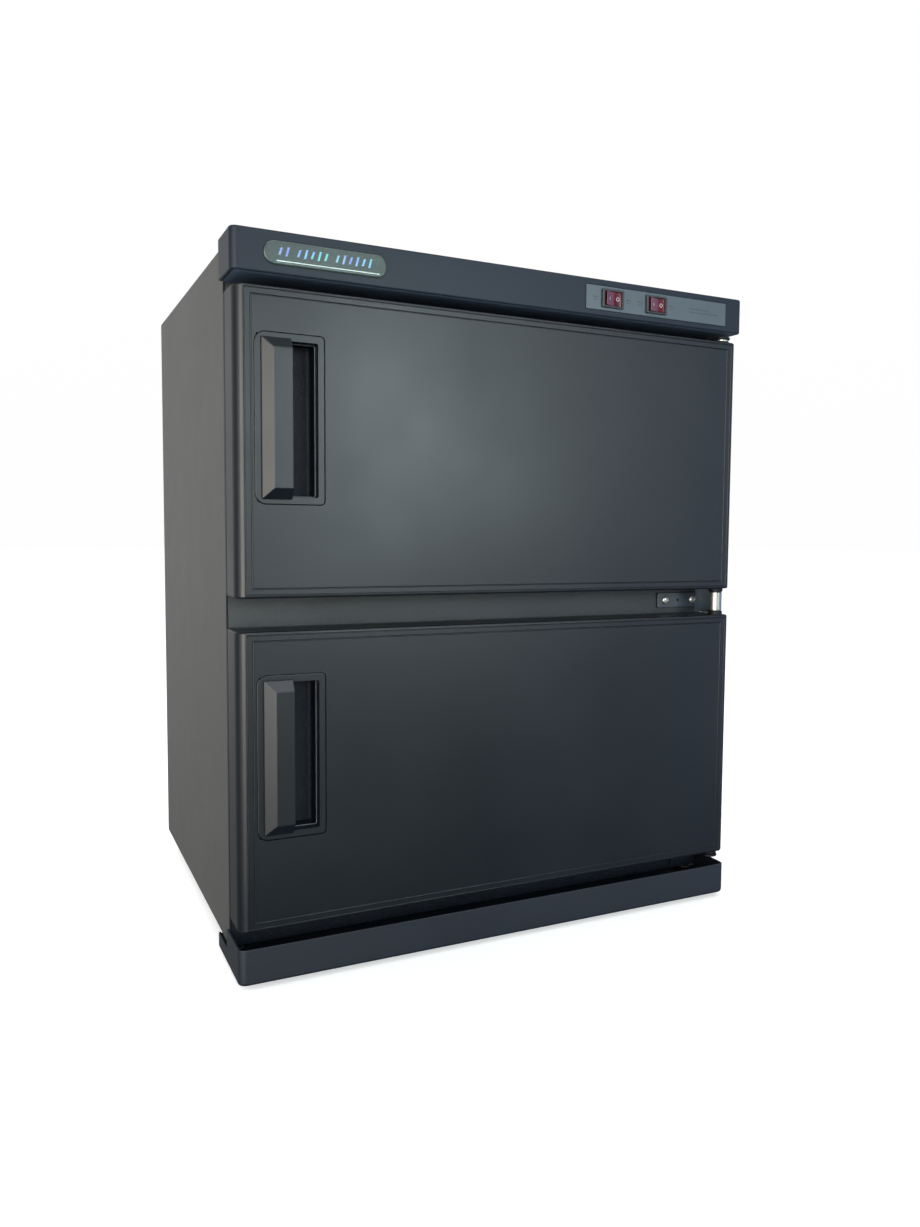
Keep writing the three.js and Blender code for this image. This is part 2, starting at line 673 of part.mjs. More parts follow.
function doorOutline(inset) {
  const half = DOOR_WIDTH / 2 - inset;
  const radius = DOOR_CORNER - inset;
  const back = DOOR_BACK + (inset ? 1 : 0);
  return roundedRect([-half, half], [DOOR_FRONT + inset, back], [radius, radius, 0, 0]);
}

// The moulded front: a shallow tray open to the back, with a boss at each hinge pin.
function makeDoorShell(level, bottom) {
  const top = bottom + DOOR_HEIGHT;
  const shell = prism('z', doorOutline(0), bottom, top);
  const hollow = prism('z', doorOutline(DOOR_WALL), bottom + DOOR_WALL, top - DOOR_WALL);
  const window = prism('y', handleOutline(bottom, GAP), DOOR_FRONT - 1, DOOR_FRONT + DOOR_WALL + 1);
  const ends = [[bottom - BOSS_REACH, bottom + 5], [top - 5, top + BOSS_REACH]];
  const collars = ends.map((zs) => rod('z', [HINGE_X, HINGE_Y], BOSS_RADIUS, zs, 20));
  const pinHole = rod('z', [HINGE_X, HINGE_Y], PIN_HOLE_RADIUS, [bottom - 10, top + 10]);
  add(`${level}_door_shell`, cut(join(cut(shell, hollow, window), ...collars), pinHole), 'darkPlastic');
}

// The inner panel closes the shell; its raised middle stands into the chamber's mouth.
function makeDoorPanel(level, bottom) {
  const half = DOOR_WIDTH / 2 - DOOR_WALL - GAP;
  const inset = DOOR_WALL + GAP;
  const zs = [bottom + inset, bottom + DOOR_HEIGHT - inset];
  const middle = middleOf(bottom);
  const raised = { halfWidth: 168, halfHeight: 78, rise: 7, wall: 1.2 };
  const plate = box([-half, half], [DOOR_BACK - 1.5, DOOR_BACK], zs);
  const block = (shrink, ys) =>
    box(
      [-raised.halfWidth + shrink, raised.halfWidth - shrink],
      ys,
      [middle - raised.halfHeight + shrink, middle + raised.halfHeight - shrink],
    );
  const boss = block(0, [DOOR_BACK - 1, DOOR_BACK + raised.rise]);
  const dish = block(raised.wall, [DOOR_BACK - 3, DOOR_BACK + raised.rise - raised.wall]);
  add(`${level}_door_inner_panel`, cut(join(plate, boss), dish), 'whitePlastic');
}

// Foam between the shell and the inner panel, notched for the handle and the hinge pins.
function makeDoorFoam(level, bottom) {
  const inset = DOOR_WALL + GAP;
  const half = DOOR_WIDTH / 2 - inset - 5;
  const ys = [DOOR_FRONT + inset, DOOR_BACK - 1.5 - GAP];
  const zs = [bottom + inset, bottom + DOOR_HEIGHT - inset];
  const middle = handleMiddle(bottom);
  const reach = HANDLE.height / 2 + 1;
  const past = (range) => [range[0] - 1, range[1] + 1];
  const handleZs = [middle - reach, middle + reach];
  const handleNotch = box([-DOOR_WIDTH, HANDLE.x[1] + 1], past(ys), handleZs);
  const hingeNotch = box([HINGE_X - 12, DOOR_WIDTH], [ys[0] - 1, HINGE_Y + 12], past(zs));
  add(`${level}_door_insulation`, cut(box([-half, half], ys, zs), handleNotch, hingeNotch), 'foam');
}

function makeDoorGasket(level, bottom) {
  const ring = { halfWidth: 219, halfHeight: 108, width: 12 };
  const ys = [DOOR_BACK + GAP, BODY_FRONT - GAP];
  const middle = middleOf(bottom);
  const block = (shrink, from, to) =>
    box(
      [-ring.halfWidth + shrink, ring.halfWidth - shrink],
      [from, to],
      [middle - ring.halfHeight + shrink, middle + ring.halfHeight - shrink],
    );
  add(`${level}_door_gasket`, cut(block(0, ...ys), block(ring.width, ys[0] - 1, ys[1] + 1)), 'rubber');
}

// The handle insert: a flush flange with a finger pocket that runs on behind the grip.
function makeHandleCup(level, bottom) {
  const middle = handleMiddle(bottom);
  const upright = (size) => [middle - size / 2, middle + size / 2];
  const flange = prism('y', handleOutline(bottom, 0), DOOR_FRONT, DOOR_FRONT + HANDLE.flange);
  const back = DOOR_FRONT + HANDLE.depth;
  const xs = [HANDLE.x[0] + 3, HANDLE.x[1] - 3];
  const cup = box(xs, [DOOR_FRONT + 1, back], upright(HANDLE.height - 6));
  const hollow = box(
    [POCKET.under, POCKET.x[1]],
    [DOOR_FRONT + HANDLE.flange + 0.5, back - HANDLE.wall],
    upright(POCKET.height),
  );
  const mouth = box(POCKET.x, [DOOR_FRONT - 1, DOOR_FRONT + 5], upright(POCKET.height));
  add(`${level}_handle_cup`, cut(join(flange, cup), hollow, mouth), 'darkPlastic');
}

// The raised grip, bevelled at its left, top and bottom and square along the pocket.
function makeHandleGrip(level, bottom) {
  const middle = handleMiddle(bottom);
  const back = DOOR_FRONT - GAP;
  const front = DOOR_FRONT - GRIP.proud;
  const [x0, x1] = GRIP.x;
  const half = GRIP.height / 2;
  const slab = box([x0, x1], [front, back], [middle - half, middle + half]);
  const shoulder = 1;
  const side = prism('z', polygon([
    [x0 - 1, front - 1],
    [x0 + GRIP.bevel, front - 1],
    [x0 + GRIP.bevel, front],
    [x0, back - shoulder],
    [x0 - 1, back - shoulder],
  ]), middle - half - 1, middle + half + 1);
  const ends = [-1, 1].map((sign) => {
    const z = middle + sign * half;
    const points = [
      [front - 1, z + sign],
      [front - 1, z - sign * GRIP.bevel],
      [front, z - sign * GRIP.bevel],
      [back - shoulder, z],
      [back - shoulder, z + sign],
    ];
    return prism('x', polygon(points), x0 - 1, x1 + 1);
  });
  add(`${level}_handle_grip`, cut(slab, side, ...ends), 'darkPlastic');
}

function makeDoor(level) {
  const bottom = DOOR_BOTTOMS[level];
  makeDoorShell(level, bottom);
  makeDoorPanel(level, bottom);
  makeDoorFoam(level, bottom);
  makeDoorGasket(level, bottom);
  makeHandleCup(level, bottom);
  makeHandleGrip(level, bottom);
}

// ---------------------------------------------------------------- drip tray

const TRAY_LIP = 7;
const TRAY_RIBS = 7;
const TRAY_RIB_PITCH = 57;

// A trough whose high part stands in front of the case and whose low part slides under it.
function makeDripTray() {
  const half = TRAY_WIDTH / 2;
  const back = DOOR_FRONT + TRAY_DEPTH;
  const frontSection = roundedRect([-half, half], [DOOR_FRONT, BODY_FRONT - 1], [6, 6, 0, 0]);
  const rearSection = roundedRect([-half, half], [BODY_FRONT - 2, back], [0, 0, 0, 0]);
  const outer = join(
    prism('z', frontSection, TRAY_BOTTOM, TRAY_FRONT_TOP),
    prism('z', rearSection, TRAY_BOTTOM, TRAY_REAR_TOP),
  );
  const inside = half - TRAY_WALL;
  const innerYs = [DOOR_FRONT + TRAY_WALL, back - TRAY_WALL];
  const hollowOutline = roundedRect([-inside, inside], innerYs, [4, 4, 0, 0]);
  const hollow = prism('z', hollowOutline, TRAY_BOTTOM + TRAY_WALL, TRAY_FRONT_TOP + 1);
  const underRunners = TRAY_REAR_TOP - 3.5;
  const rearNotch = box([-inside, inside], [innerYs[1] - 1, back + 1], [underRunners, TRAY_REAR_TOP + 1]);
  const lips = [-1, 1].map((side) => {
    const xs = [side * (inside + 1), side * (inside - TRAY_LIP)].sort((a, b) => a - b);
    return box(xs, [BODY_FRONT + 1, innerYs[1] - 1], [TRAY_REAR_TOP - 1.5, TRAY_REAR_TOP]);
  });
  const ribs = Array.from({ length: TRAY_RIBS }, (_, i) => {
    const x = (i - (TRAY_RIBS - 1) / 2) * TRAY_RIB_PITCH + TRAY_RIB_PITCH / 2 - 1;
    const ys = [DOOR_FRONT + 1, DOOR_FRONT + 4];
    return box([x - 0.75, x + 0.75], ys, [TRAY_BOTTOM + 1, TRAY_FRONT_TOP - 2]);
  });
  add('drip_tray', join(cut(outer, hollow, rearNotch), ...lips, ...ribs), 'darkPlastic');
}

// Angle rails under the base; the tray's inward lips hang on their outward feet.
function makeTrayRunners() {
  const top = BODY_BOTTOM - GAP;
  const footTop = TRAY_REAR_TOP - 1.5 - GAP;
  const web = TRAY_WIDTH / 2 - TRAY_WALL - TRAY_LIP - 4;
  const ys = [BODY_FRONT + 3, DOOR_FRONT + TRAY_DEPTH - TRAY_WALL - 1];
  for (const [side, sign] of [['left', -1], ['right', 1]]) {
    const outline = polygon([
      [sign * web, top],
      [sign * (web + SHEET), top],
      [sign * (web + SHEET), footTop],
      [sign * (web + 9), footTop],
      [sign * (web + 9), footTop - SHEET],
      [sign * web, footTop - SHEET],
    ]);
    add(`tray_runner_${side}`, prism('y', outline, ...ys), 'zincSteel');
  }
}

// ---------------------------------------------------------------- assembly

makeOuterWrap();
makeFrontFrame();
makeBackPanel();
makeBackScrews();
makeBasePan();
makeFeet();
makePowerInlet();
makeTerminalBlock();
makeLampBallast();
makeInsulation();
makeThermalFuse();
for (const level of ['upper', 'lower']) {
  makeLiner(level);
  makeHeaterPad(level);
  makeThermostat(level);
  makeRack(level);
}
makeLamp();
makeHeadFascia();
makeSwitchPanel();
makeBadge();
for (const [use, x] of Object.entries(SWITCH_XS)) {
  makeSwitchHousing(`${use}_switch_housing`, x);
  makeRocker(`${use}_switch_rocker`, x);
}
makeEndHinges();
makeMidBracket();
makeBracketScrews();
makeDoor('upper');
makeDoor('lower');
makeDripTray();
makeTrayRunners();

export default cabinet;
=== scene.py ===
"""Hot towel cabinet: detailed pieces, procedural materials, studio and camera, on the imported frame."""

import json
from math import cos, pi, radians, sin, tau

import bmesh
import bpy
from mathutils import Matrix, Vector


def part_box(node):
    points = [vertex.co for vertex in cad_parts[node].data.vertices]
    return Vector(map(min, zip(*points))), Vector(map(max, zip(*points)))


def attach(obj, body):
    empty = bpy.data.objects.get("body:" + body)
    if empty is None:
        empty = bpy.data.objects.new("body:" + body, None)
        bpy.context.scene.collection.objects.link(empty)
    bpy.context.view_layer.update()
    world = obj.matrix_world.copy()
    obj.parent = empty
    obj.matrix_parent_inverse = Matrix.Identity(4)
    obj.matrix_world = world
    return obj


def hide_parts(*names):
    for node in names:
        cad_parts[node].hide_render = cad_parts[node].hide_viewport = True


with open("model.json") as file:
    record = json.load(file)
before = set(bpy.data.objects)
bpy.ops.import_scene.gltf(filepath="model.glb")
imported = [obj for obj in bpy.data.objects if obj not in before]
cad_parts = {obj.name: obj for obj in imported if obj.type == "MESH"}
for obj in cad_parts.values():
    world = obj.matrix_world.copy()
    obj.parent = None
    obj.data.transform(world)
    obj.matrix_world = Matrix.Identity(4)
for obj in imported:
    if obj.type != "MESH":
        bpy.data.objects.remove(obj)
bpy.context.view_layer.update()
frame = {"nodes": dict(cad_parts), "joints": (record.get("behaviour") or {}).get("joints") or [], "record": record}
MM = 0.001
OVERCUT = 1  # how far a cutter runs on past the surface that it opens
LEVELS = ("lower", "upper")


# ------------------------------------------------------------------ places taken from the frame


def joint_point(name):
    """The axis point of a hinge, in millimetres, like every place and size from here to the studio."""
    return next(Vector(joint["pos_m"]) / MM for joint in frame["joints"] if joint["name"] == name)


def box_of(node):
    """A node's low and high corners."""
    low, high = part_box(node)
    return low / MM, high / MM


def middle_of(node):
    low, high = box_of(node)
    return (low + high) / 2


# ------------------------------------------------------------------ mesh helpers


def link(mesh, name):
    obj = bpy.data.objects.new(name, mesh)
    bpy.context.scene.collection.objects.link(obj)
    return obj


def from_bmesh(bm, name, unit=MM):
    bmesh.ops.recalc_face_normals(bm, faces=bm.faces)
    bmesh.ops.scale(bm, vec=(unit, unit, unit), verts=bm.verts)
    mesh = bpy.data.meshes.new(name)
    bm.to_mesh(mesh)
    bm.free()
    return link(mesh, name)


def rounded_outline(a, b, radii, steps=6):
    """A rectangle's points, counter-clockwise from low-low, with one radius or a radius per corner."""
    (a0, a1), (b0, b1) = a, b
    per_corner = radii if isinstance(radii, (list, tuple)) else (radii,) * 4
    r = [max(radius, 0.01) for radius in per_corner]
    centres = (
        (a0 + r[0], b0 + r[0]),
        (a1 - r[1], b0 + r[1]),
        (a1 - r[2], b1 - r[2]),
        (a0 + r[3], b1 - r[3]),
    )
    points = []
    for corner, (centre_a, centre_b) in enumerate(centres):
        for sweep in quarter_turn(steps):
            angle = pi + corner * pi / 2 + sweep
            points.append((centre_a + r[corner] * cos(angle), centre_b + r[corner] * sin(angle)))
    return points


def span(low, high, inset):
    """The range between two places, drawn in at both ends."""
    return low + inset, high - inset


def around(middle, half):
    return middle - half, middle + half


def facing(low, high, inset=0):
    """A box's ranges along X and Z, drawn in all round."""
    return span(low.x, high.x, inset), span(low.z, high.z, inset)


def circle_outline(a, b, radius, sides=32):
    return [(a + radius * cos(tau * i / sides), b + radius * sin(tau * i / sides)) for i in range(sides)]


PLANES = {
    "x": lambda a, b, c: Vector((c, a, b)),
    "y": lambda a, b, c: Vector((a, c, b)),
    "z": lambda a, b, c: Vector((a, b, c)),
}


def loft(name, axis, stations, cap_start=True, cap_end=True, closed=False):
    """Joins outlines with equal point counts; a station is (outline, place along the axis)."""
    bm = bmesh.new()
    place = PLANES[axis]
    rings = [[bm.verts.new(place(a, b, along)) for a, b in outline] for outline, along in stations]
    pairs = list(zip(rings, rings[1:]))
    if closed:
        pairs.append((rings[-1], rings[0]))
    for one, two in pairs:
        for i in range(len(one)):
            j = (i + 1) % len(one)
            bm.faces.new((one[i], one[j], two[j], two[i]))
    if cap_start and not closed:
        bm.faces.new(rings[0])
    if cap_end and not closed:
        bm.faces.new(rings[-1])
    return from_bmesh(bm, name)


def fillet_stations(make_outline, start, end, radius, steps=5):
    """Stations of a solid whose two end edges are rounded; make_outline takes an inset."""
    inward = radius if end > start else -radius
    angles = quarter_turn(steps)
    first = [(angle, start + inward * (1 - cos(angle))) for angle in angles]
    last = [(angle, end - inward * (1 - cos(angle))) for angle in reversed(angles)]
    return [(make_outline(radius * (1 - sin(angle))), along) for angle, along in first + last]


def rounded_slab(name, axis, a, b, along, corner, edge, steps=5):
    """A plate or bar with rounded outline corners and rounded end edges."""
    corners = corner if isinstance(corner, tuple) else (corner,) * 4

    def outline(inset):
        radii = [max(radius - inset, 0) for radius in corners]
        return rounded_outline(span(*a, inset), span(*b, inset), radii)

    return loft(name, axis, fillet_stations(outline, *along, edge, steps))


def even_steps(whole, steps):
    """Evenly spaced values from zero to the whole."""
    return [step / steps * whole for step in range(steps + 1)]


def quarter_turn(steps=6):
    return even_steps(pi / 2, steps)


def lathe(name, axis, centre, profile, sides=32):
    """Turns (radius, place along the axis) points round a centre line; the ends are capped."""
    stations = [(circle_outline(*centre, max(radius, 0.01), sides), along) for radius, along in profile]
    return loft(name, axis, stations)


def chamfered(radius, start, end, edge):
    """A lathe profile for a round bar with small chamfers."""
    return [(radius - edge, start), (radius, start + edge), (radius, end - edge), (radius - edge, end)]


def block(name, x, y, z):
    bm = bmesh.new()
    bmesh.ops.create_cube(bm, size=1)
    size = Vector((x[1] - x[0], y[1] - y[0], z[1] - z[0]))
    centre = Vector((sum(x), sum(y), sum(z))) / 2
    place = Matrix.Translation(centre) @ Matrix.Diagonal(size.to_4d())
    bmesh.ops.transform(bm, matrix=place, verts=bm.verts)
    return from_bmesh(bm, name)


def extruded(name, axis, outline, along):
    return loft(name, axis, [(outline, place) for place in along])


def bake(obj):
    """Applies an object's modifiers to its mesh."""
    graph = bpy.context.evaluated_depsgraph_get()
    mesh = bpy.data.meshes.new_from_object(obj.evaluated_get(graph))
    obj.modifiers.clear()
    old = obj.data
    obj.data = mesh
    bpy.data.meshes.remove(old)
    return obj


def boolean(obj, operation, *others):
    for other in others:
        modifier = obj.modifiers.new("boolean", "BOOLEAN")
        modifier.operation = operation
        modifier.solver = "EXACT"
        modifier.object = other
    bake(obj)
    for other in others:
        bpy.data.objects.remove(other)
    return obj


def carve(obj, *cutters):
    return boolean(obj, "DIFFERENCE", *cutters)


def fuse(obj, *others):
    return boolean(obj, "UNION", *others)


def merge(obj, *others, name=None):
    """Puts separate shells in one object, without a boolean."""
    obj.name = name or obj.name
    bm = bmesh.new()
    for source in (obj, *others):
        bm.from_mesh(source.data)
    mesh = bpy.data.meshes.new(obj.name)
    bm.to_mesh(mesh)
    bm.free()
    obj.data = mesh
    for other in others:
        bpy.data.objects.remove(other)
    return obj


def bevel(obj, width, segments=3, angle=40):
    modifier = obj.modifiers.new("bevel", "BEVEL")
    modifier.width = width * MM
    modifier.segments = segments
    modifier.limit_method = "ANGLE"
    modifier.angle_limit = radians(angle)
    modifier.harden_normals = False
    return bake(obj)


def wires(name, paths, radius, closed=False):
    """Round wires along point lists, as one mesh."""
    curve = bpy.data.curves.new(name, "CURVE")
    curve.dimensions = "3D"
    curve.bevel_depth = radius * MM
    curve.bevel_resolution = 4
    curve.use_fill_caps = True
    for path in paths:
        spline = curve.splines.new("POLY")
        spline.points.add(len(path) - 1)
        for point, place in zip(spline.points, path):
            point.co = (*(Vector(place) * MM), 1)
        spline.use_cyclic_u = closed
    source = link(curve, name)
    graph = bpy.context.evaluated_depsgraph_get()
    mesh = bpy.data.meshes.new_from_object(source.evaluated_get(graph))
    bpy.data.objects.remove(source)
    bpy.data.curves.remove(curve)
    return link(mesh, name)


def rounded_path(corners, radius, steps=6):
    """A path through corner points with an arc of the given radius at each inner corner."""
    points = [Vector(corners[0])]
    for before, corner, after in zip(corners, corners[1:], corners[2:]):
        corner = Vector(corner)
        back = (Vector(before) - corner).normalized() * radius
        ahead = (Vector(after) - corner).normalized() * radius
        for t in even_steps(1, steps):
            points.append(corner + back * (1 - t) ** 2 + ahead * t**2)
    points.append(Vector(corners[-1]))
    return points


def piece(obj, body, slot, replaced=(), smooth_angle=35):
    """Gives a finished mesh its shading, material and body, and hides the CAD nodes that it stands for."""
    mesh = obj.data
    mesh.materials.clear()
    mesh.materials.append(material_for(slot))
    for polygon in mesh.polygons:
        polygon.use_smooth = True
    mesh.set_sharp_from_angle(angle=radians(smooth_angle))
    weighted = obj.modifiers.new("normals", "WEIGHTED_NORMAL")
    weighted.keep_sharp = True
    weighted.weight = 80
    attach(obj, body)
    if replaced:
        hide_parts(*([replaced] if isinstance(replaced, str) else replaced))
    return obj


# ------------------------------------------------------------------ materials


def map_range(tree, factor, start, end, low, high):
    """A node that maps the range from start to end to the range from low to high."""
    mapped = tree.nodes.new("ShaderNodeMapRange")
    for label, value in (("From Min", start), ("From Max", end), ("To Min", low), ("To Max", high)):
        mapped.inputs[label].default_value = value
    tree.links.new(factor, mapped.inputs["Value"])
    return mapped.outputs["Result"]


class Shader:
    """Small builder round one Principled material, with object coordinates in metres."""

    def __init__(self, name):
        self.material = bpy.data.materials.new(name)
        self.material.use_nodes = True
        self.nodes = self.material.node_tree.nodes
        self.links = self.material.node_tree.links
        self.surface = self.nodes["Principled BSDF"]
        self.coordinates = self.nodes.new("ShaderNodeTexCoord").outputs["Object"]

    def set(self, **values):
        for label, value in values.items():
            self.surface.inputs[label.replace("_", " ")].default_value = value
        return self

    def noise(self, scale, detail=3.0, stretch=(1, 1, 1)):
        mapping = self.nodes.new("ShaderNodeMapping")
        mapping.inputs["Scale"].default_value = stretch
        self.links.new(self.coordinates, mapping.inputs["Vector"])
        texture = self.nodes.new("ShaderNodeTexNoise")
        for label, value in (("Scale", scale), ("Detail", detail), ("Roughness", 0.55)):
            texture.inputs[label].default_value = value
        self.links.new(mapping.outputs["Vector"], texture.inputs["Vector"])
        return texture.outputs["Fac"]

    def spread(self, factor, low, high, start=0.3, end=0.7):
        """Maps a noise factor to a range of values."""
        return map_range(self.material.node_tree, factor, start, end, low, high)

    def mix(self, factor, one, two):
        mixer = self.nodes.new("ShaderNodeMix")
        mixer.data_type = "RGBA"
        for socket, value in ((mixer.inputs[6], one), (mixer.inputs[7], two)):
            if isinstance(value, bpy.types.NodeSocket):
                self.links.new(value, socket)
            else:
                socket.default_value = (*value, 1)
        self.links.new(factor, mixer.inputs[0])
        return mixer.outputs[2]

    def colour(self, socket):
        self.links.new(socket, self.surface.inputs["Base Color"])
        return self

    def mottle(self, base, amount=0.12, scale=14):
        """Base colour that drifts a little lighter and darker."""
        dark = tuple(channel * (1 - amount) for channel in base)
        light = tuple(min(channel * (1 + amount), 1) for channel in base)
        self.base = self.mix(self.spread(self.noise(scale), 0, 1), dark, light)
        return self.colour(self.base)

    def dust(self, tint, amount, scale=900):
        """Fine specks of a lighter tint over the base colour."""
        specks = self.spread(self.noise(scale, 1), 0, amount, 0.62, 0.75)
        self.base = self.mix(specks, self.base, tint)
        return self.colour(self.base)

    def roughness(self, low, high, scale=9, stretch=(1, 1, 1)):
        varied = self.spread(self.noise(scale, 5, stretch), low, high)
        self.links.new(varied, self.surface.inputs["Roughness"])
        return self

    def bump(self, scale, depth, detail=2, stretch=(1, 1, 1), strength=1.0):
        """Adds a layer of relief, with depth in metres, over any that is already there."""
        relief = self.nodes.new("ShaderNodeBump")
        relief.inputs["Strength"].default_value = strength
        relief.inputs["Distance"].default_value = depth
        self.links.new(self.noise(scale, detail, stretch), relief.inputs["Height"])
        earlier = self.surface.inputs["Normal"]
        if earlier.is_linked:
            self.links.new(earlier.links[0].from_socket, relief.inputs["Normal"])
        self.links.new(relief.outputs["Normal"], earlier)
        return self


def plastic(name, base, low, high, gloss=0.5, grain=0.00003):
    """Moulded plastic with a fine grain and a slight waviness."""
    shader = Shader(name)
    shader.mottle(base, 0.06, 8).dust((0.2, 0.2, 0.2), 0.015)
    shader.roughness(low, high, 7)
    shader.bump(1500, grain).bump(12, 0.0004, 1, strength=0.06)
    return shader.set(IOR=1.48, Specular_IOR_Level=gloss).material


def paint(name, base, low, high, grain, size, gloss=0.5):
    """Powder coat: grain is the relief's depth in metres and size its scale."""
    shader = Shader(name)
    shader.mottle(base, 0.08, 10).dust((0.28, 0.27, 0.26), 0.06)
    shader.roughness(low, high, 10)
    shader.bump(size, grain).bump(size * 2.7, grain * 0.5)
    return shader.set(Specular_IOR_Level=gloss).material


def plain(name, base, drift, rough, bumps, values):
    """Any other surface; the tuples go to the shader's methods."""
    shader = Shader(name)
    shader.mottle(base, *drift)
    if name in DUST:
        shader.dust(*DUST[name])
    shader.roughness(*rough)
    for layer in bumps:
        shader.bump(*layer)
    return shader.set(**values).material


def hologram(name):
    """Rainbow foil: the hue runs with the place along the badge."""
    shader = Shader(name)
    split = shader.nodes.new("ShaderNodeSeparateXYZ")
    shader.links.new(shader.coordinates, split.inputs["Vector"])
    wave = shader.nodes.new("ShaderNodeMath")
    wave.operation = "MULTIPLY_ADD"
    wave.inputs[1].default_value = HUE_TURNS_PER_METRE
    shader.links.new(split.outputs["X"], wave.inputs[0])
    shader.links.new(shader.noise(220, 2, (0.3, 1, 1)), wave.inputs[2])
    fraction = shader.nodes.new("ShaderNodeMath")
    fraction.operation = "FRACT"
    shader.links.new(wave.outputs[0], fraction.inputs[0])
    ramp = shader.nodes.new("ShaderNodeValToRGB")
    (_, first), *inner_stops, (_, last) = RAINBOW
    for position, tint in inner_stops:
        ramp.color_ramp.elements.new(position).color = (*tint, 1)
    ramp.color_ramp.elements[0].color = (*first, 1)
    ramp.color_ramp.elements[-1].color = (*last, 1)
    shader.links.new(fraction.outputs[0], ramp.inputs["Fac"])
    shader.colour(ramp.outputs["Color"])
    shader.roughness(0.2, 0.35, 90).bump(900, 0.00002)
    return shader.set(Specular_IOR_Level=0.4).material


HUE_TURNS_PER_METRE = 24
RAINBOW = (
    (0.0, (0.1, 0.14, 0.42)),
    (0.35, (0.1, 0.26, 0.5)),
    (0.6, (0.1, 0.36, 0.32)),
    (0.85, (0.14, 0.18, 0.46)),
)
# Base colour, least and greatest roughness, gloss and grain depth.
PLASTICS = {
    "door_plastic": ((0.0025, 0.005, 0.008), 0.32, 0.4, 0.28),
    "head_plastic": ((0.0112, 0.016, 0.0245), 0.34, 0.4, 0.12),
    "tray_plastic": ((0.0072, 0.011, 0.018), 0.44, 0.52, 0.28),
    "switch_black": ((0.018, 0.019, 0.022), 0.36, 0.46, 0.3, 0.00002),
    "white_plastic": ((0.3, 0.305, 0.295), 0.32, 0.42, 0.3, 0.00002),
}
# Base colour, least and greatest roughness, grain depth and scale, and gloss.
PAINTS = {
    "case_paint": ((0.044, 0.044, 0.0435), 0.46, 0.56, 0.00005, 1300, 0.3),
    "rail_paint": ((0.0125, 0.018, 0.0225), 0.46, 0.6, 0.0003, 600, 0.4),
    "bracket_paint": ((0.018, 0.028, 0.042), 0.38, 0.5, 0.00004, 1500),
    # The bracket's paint made lighter: painted light on the hinge arm, which the doors shade.
    "arm_painted_light": ((0.13, 0.18, 0.23), 0.38, 0.5, 0.00004, 1500),
    # Dark paint: the real colour of the hinge plates and collars, and painted shade on the sill, the case's front
    # edge and the handle pockets.
    "dark_paint_and_painted_shade": ((0.003, 0.005, 0.009), 0.5, 0.6, 0.0003, 600, 0.15),
    # Lighter than the head's plastic: painted bounce light under the head.
    "soffit_painted_bounce": ((0.032, 0.05, 0.078), 0.6, 0.7, 0.0002, 800, 0.2),
}
METAL = {"Metallic": 1.0}
PLATED = {"Metallic": 0.75}
SATIN = {"Metallic": 0.2, "Specular_IOR_Level": 0.3}
FOIL = {"Specular_IOR_Level": 0.3, "Coat_Weight": 0.15, "Coat_Roughness": 0.1}
CLEAR_RED = {
    "Coat_Weight": 0.25,
    "Coat_Roughness": 0.08,
    "Specular_IOR_Level": 0.3,
    "Subsurface_Weight": 0.1,
    "Subsurface_Scale": 0.002,
}
GLASS = {"Transmission_Weight": 0.85, "IOR": 1.46}
BRUSHED = (0.05, 1, 1)
# Base colour, then what mottle, roughness and bump are given, and values set on the shader.
PLAIN = {
    "rubber": ((0.014, 0.014, 0.015), (0.2, 30), (0.6, 0.8, 20), [(600, 0.0001)], {}),
    "gasket_grey": ((0.022, 0.022, 0.022), (0.1, 40), (0.5, 0.65, 20), [(500, 0.00005)], {}),
    "aluminium": (
        (0.3, 0.31, 0.315), (0.06, 20), (0.34, 0.48, 40, BRUSHED), [(160, 0.00002, 2, BRUSHED)], METAL,
    ),
    "chrome": ((0.8, 0.82, 0.84), (0.03, 40), (0.05, 0.1, 60), [(300, 0.00001)], METAL),
    "polished_steel": (
        (0.22, 0.22, 0.21), (0.03, 40), (0.34, 0.42, 90, (1, 1, 0.1)),
        [(2500, 0.000001, 1, (0.1, 0.1, 1))], METAL,
    ),
    "zinc_steel": ((0.5, 0.51, 0.5), (0.15, 120), (0.3, 0.48, 80), [(500, 0.00003)], METAL),
    "bright_zinc": ((0.3, 0.31, 0.3), (0.06, 200), (0.32, 0.45, 120), [(500, 0.00002)], PLATED),
    "silver_plate": (
        (0.05, 0.066, 0.079), (0.05, 30), (0.34, 0.46, 60, (0.04, 1, 1)),
        [(400, 0.00002, 2, (0.03, 1, 1))], SATIN,
    ),
    "printed_grey": ((0.007, 0.009, 0.012), (0.15, 500), (0.45, 0.6, 100), [(900, 0.00002)], {}),
    "badge_foil": ((0.017, 0.033, 0.03), (0.12, 60), (0.3, 0.42, 40), [(900, 0.00002)], FOIL),
    # A painted highlight: the bright line at the foot of the badge's dome.
    "badge_painted_highlight": ((0.72, 0.88, 0.82), (0.06, 80), (0.3, 0.4, 60), [(900, 0.00001)], {}),
    "red_rocker": ((0.058, 0.005, 0.011), (0.35, 160), (0.14, 0.26, 60), [(400, 0.00003)], CLEAR_RED),
    "white_print": ((0.38, 0.35, 0.34), (0.05, 300), (0.35, 0.5, 100), [(900, 0.00001)], {}),
    "wool": ((0.78, 0.74, 0.6), (0.12, 60), (0.85, 1.0, 30), [(160, 0.002, 6), (900, 0.0005)], {}),
    "heater_rubber": ((0.42, 0.12, 0.05), (0.1, 40), (0.5, 0.65, 20), [(700, 0.0001)], {}),
    "lamp_glass": ((0.82, 0.88, 0.95), (0.04, 30), (0.03, 0.08, 30), [(60, 0.00002)], GLASS),
    "white_ceramic": ((0.72, 0.7, 0.65), (0.06, 60), (0.4, 0.55, 40), [(600, 0.00004)], {}),
}
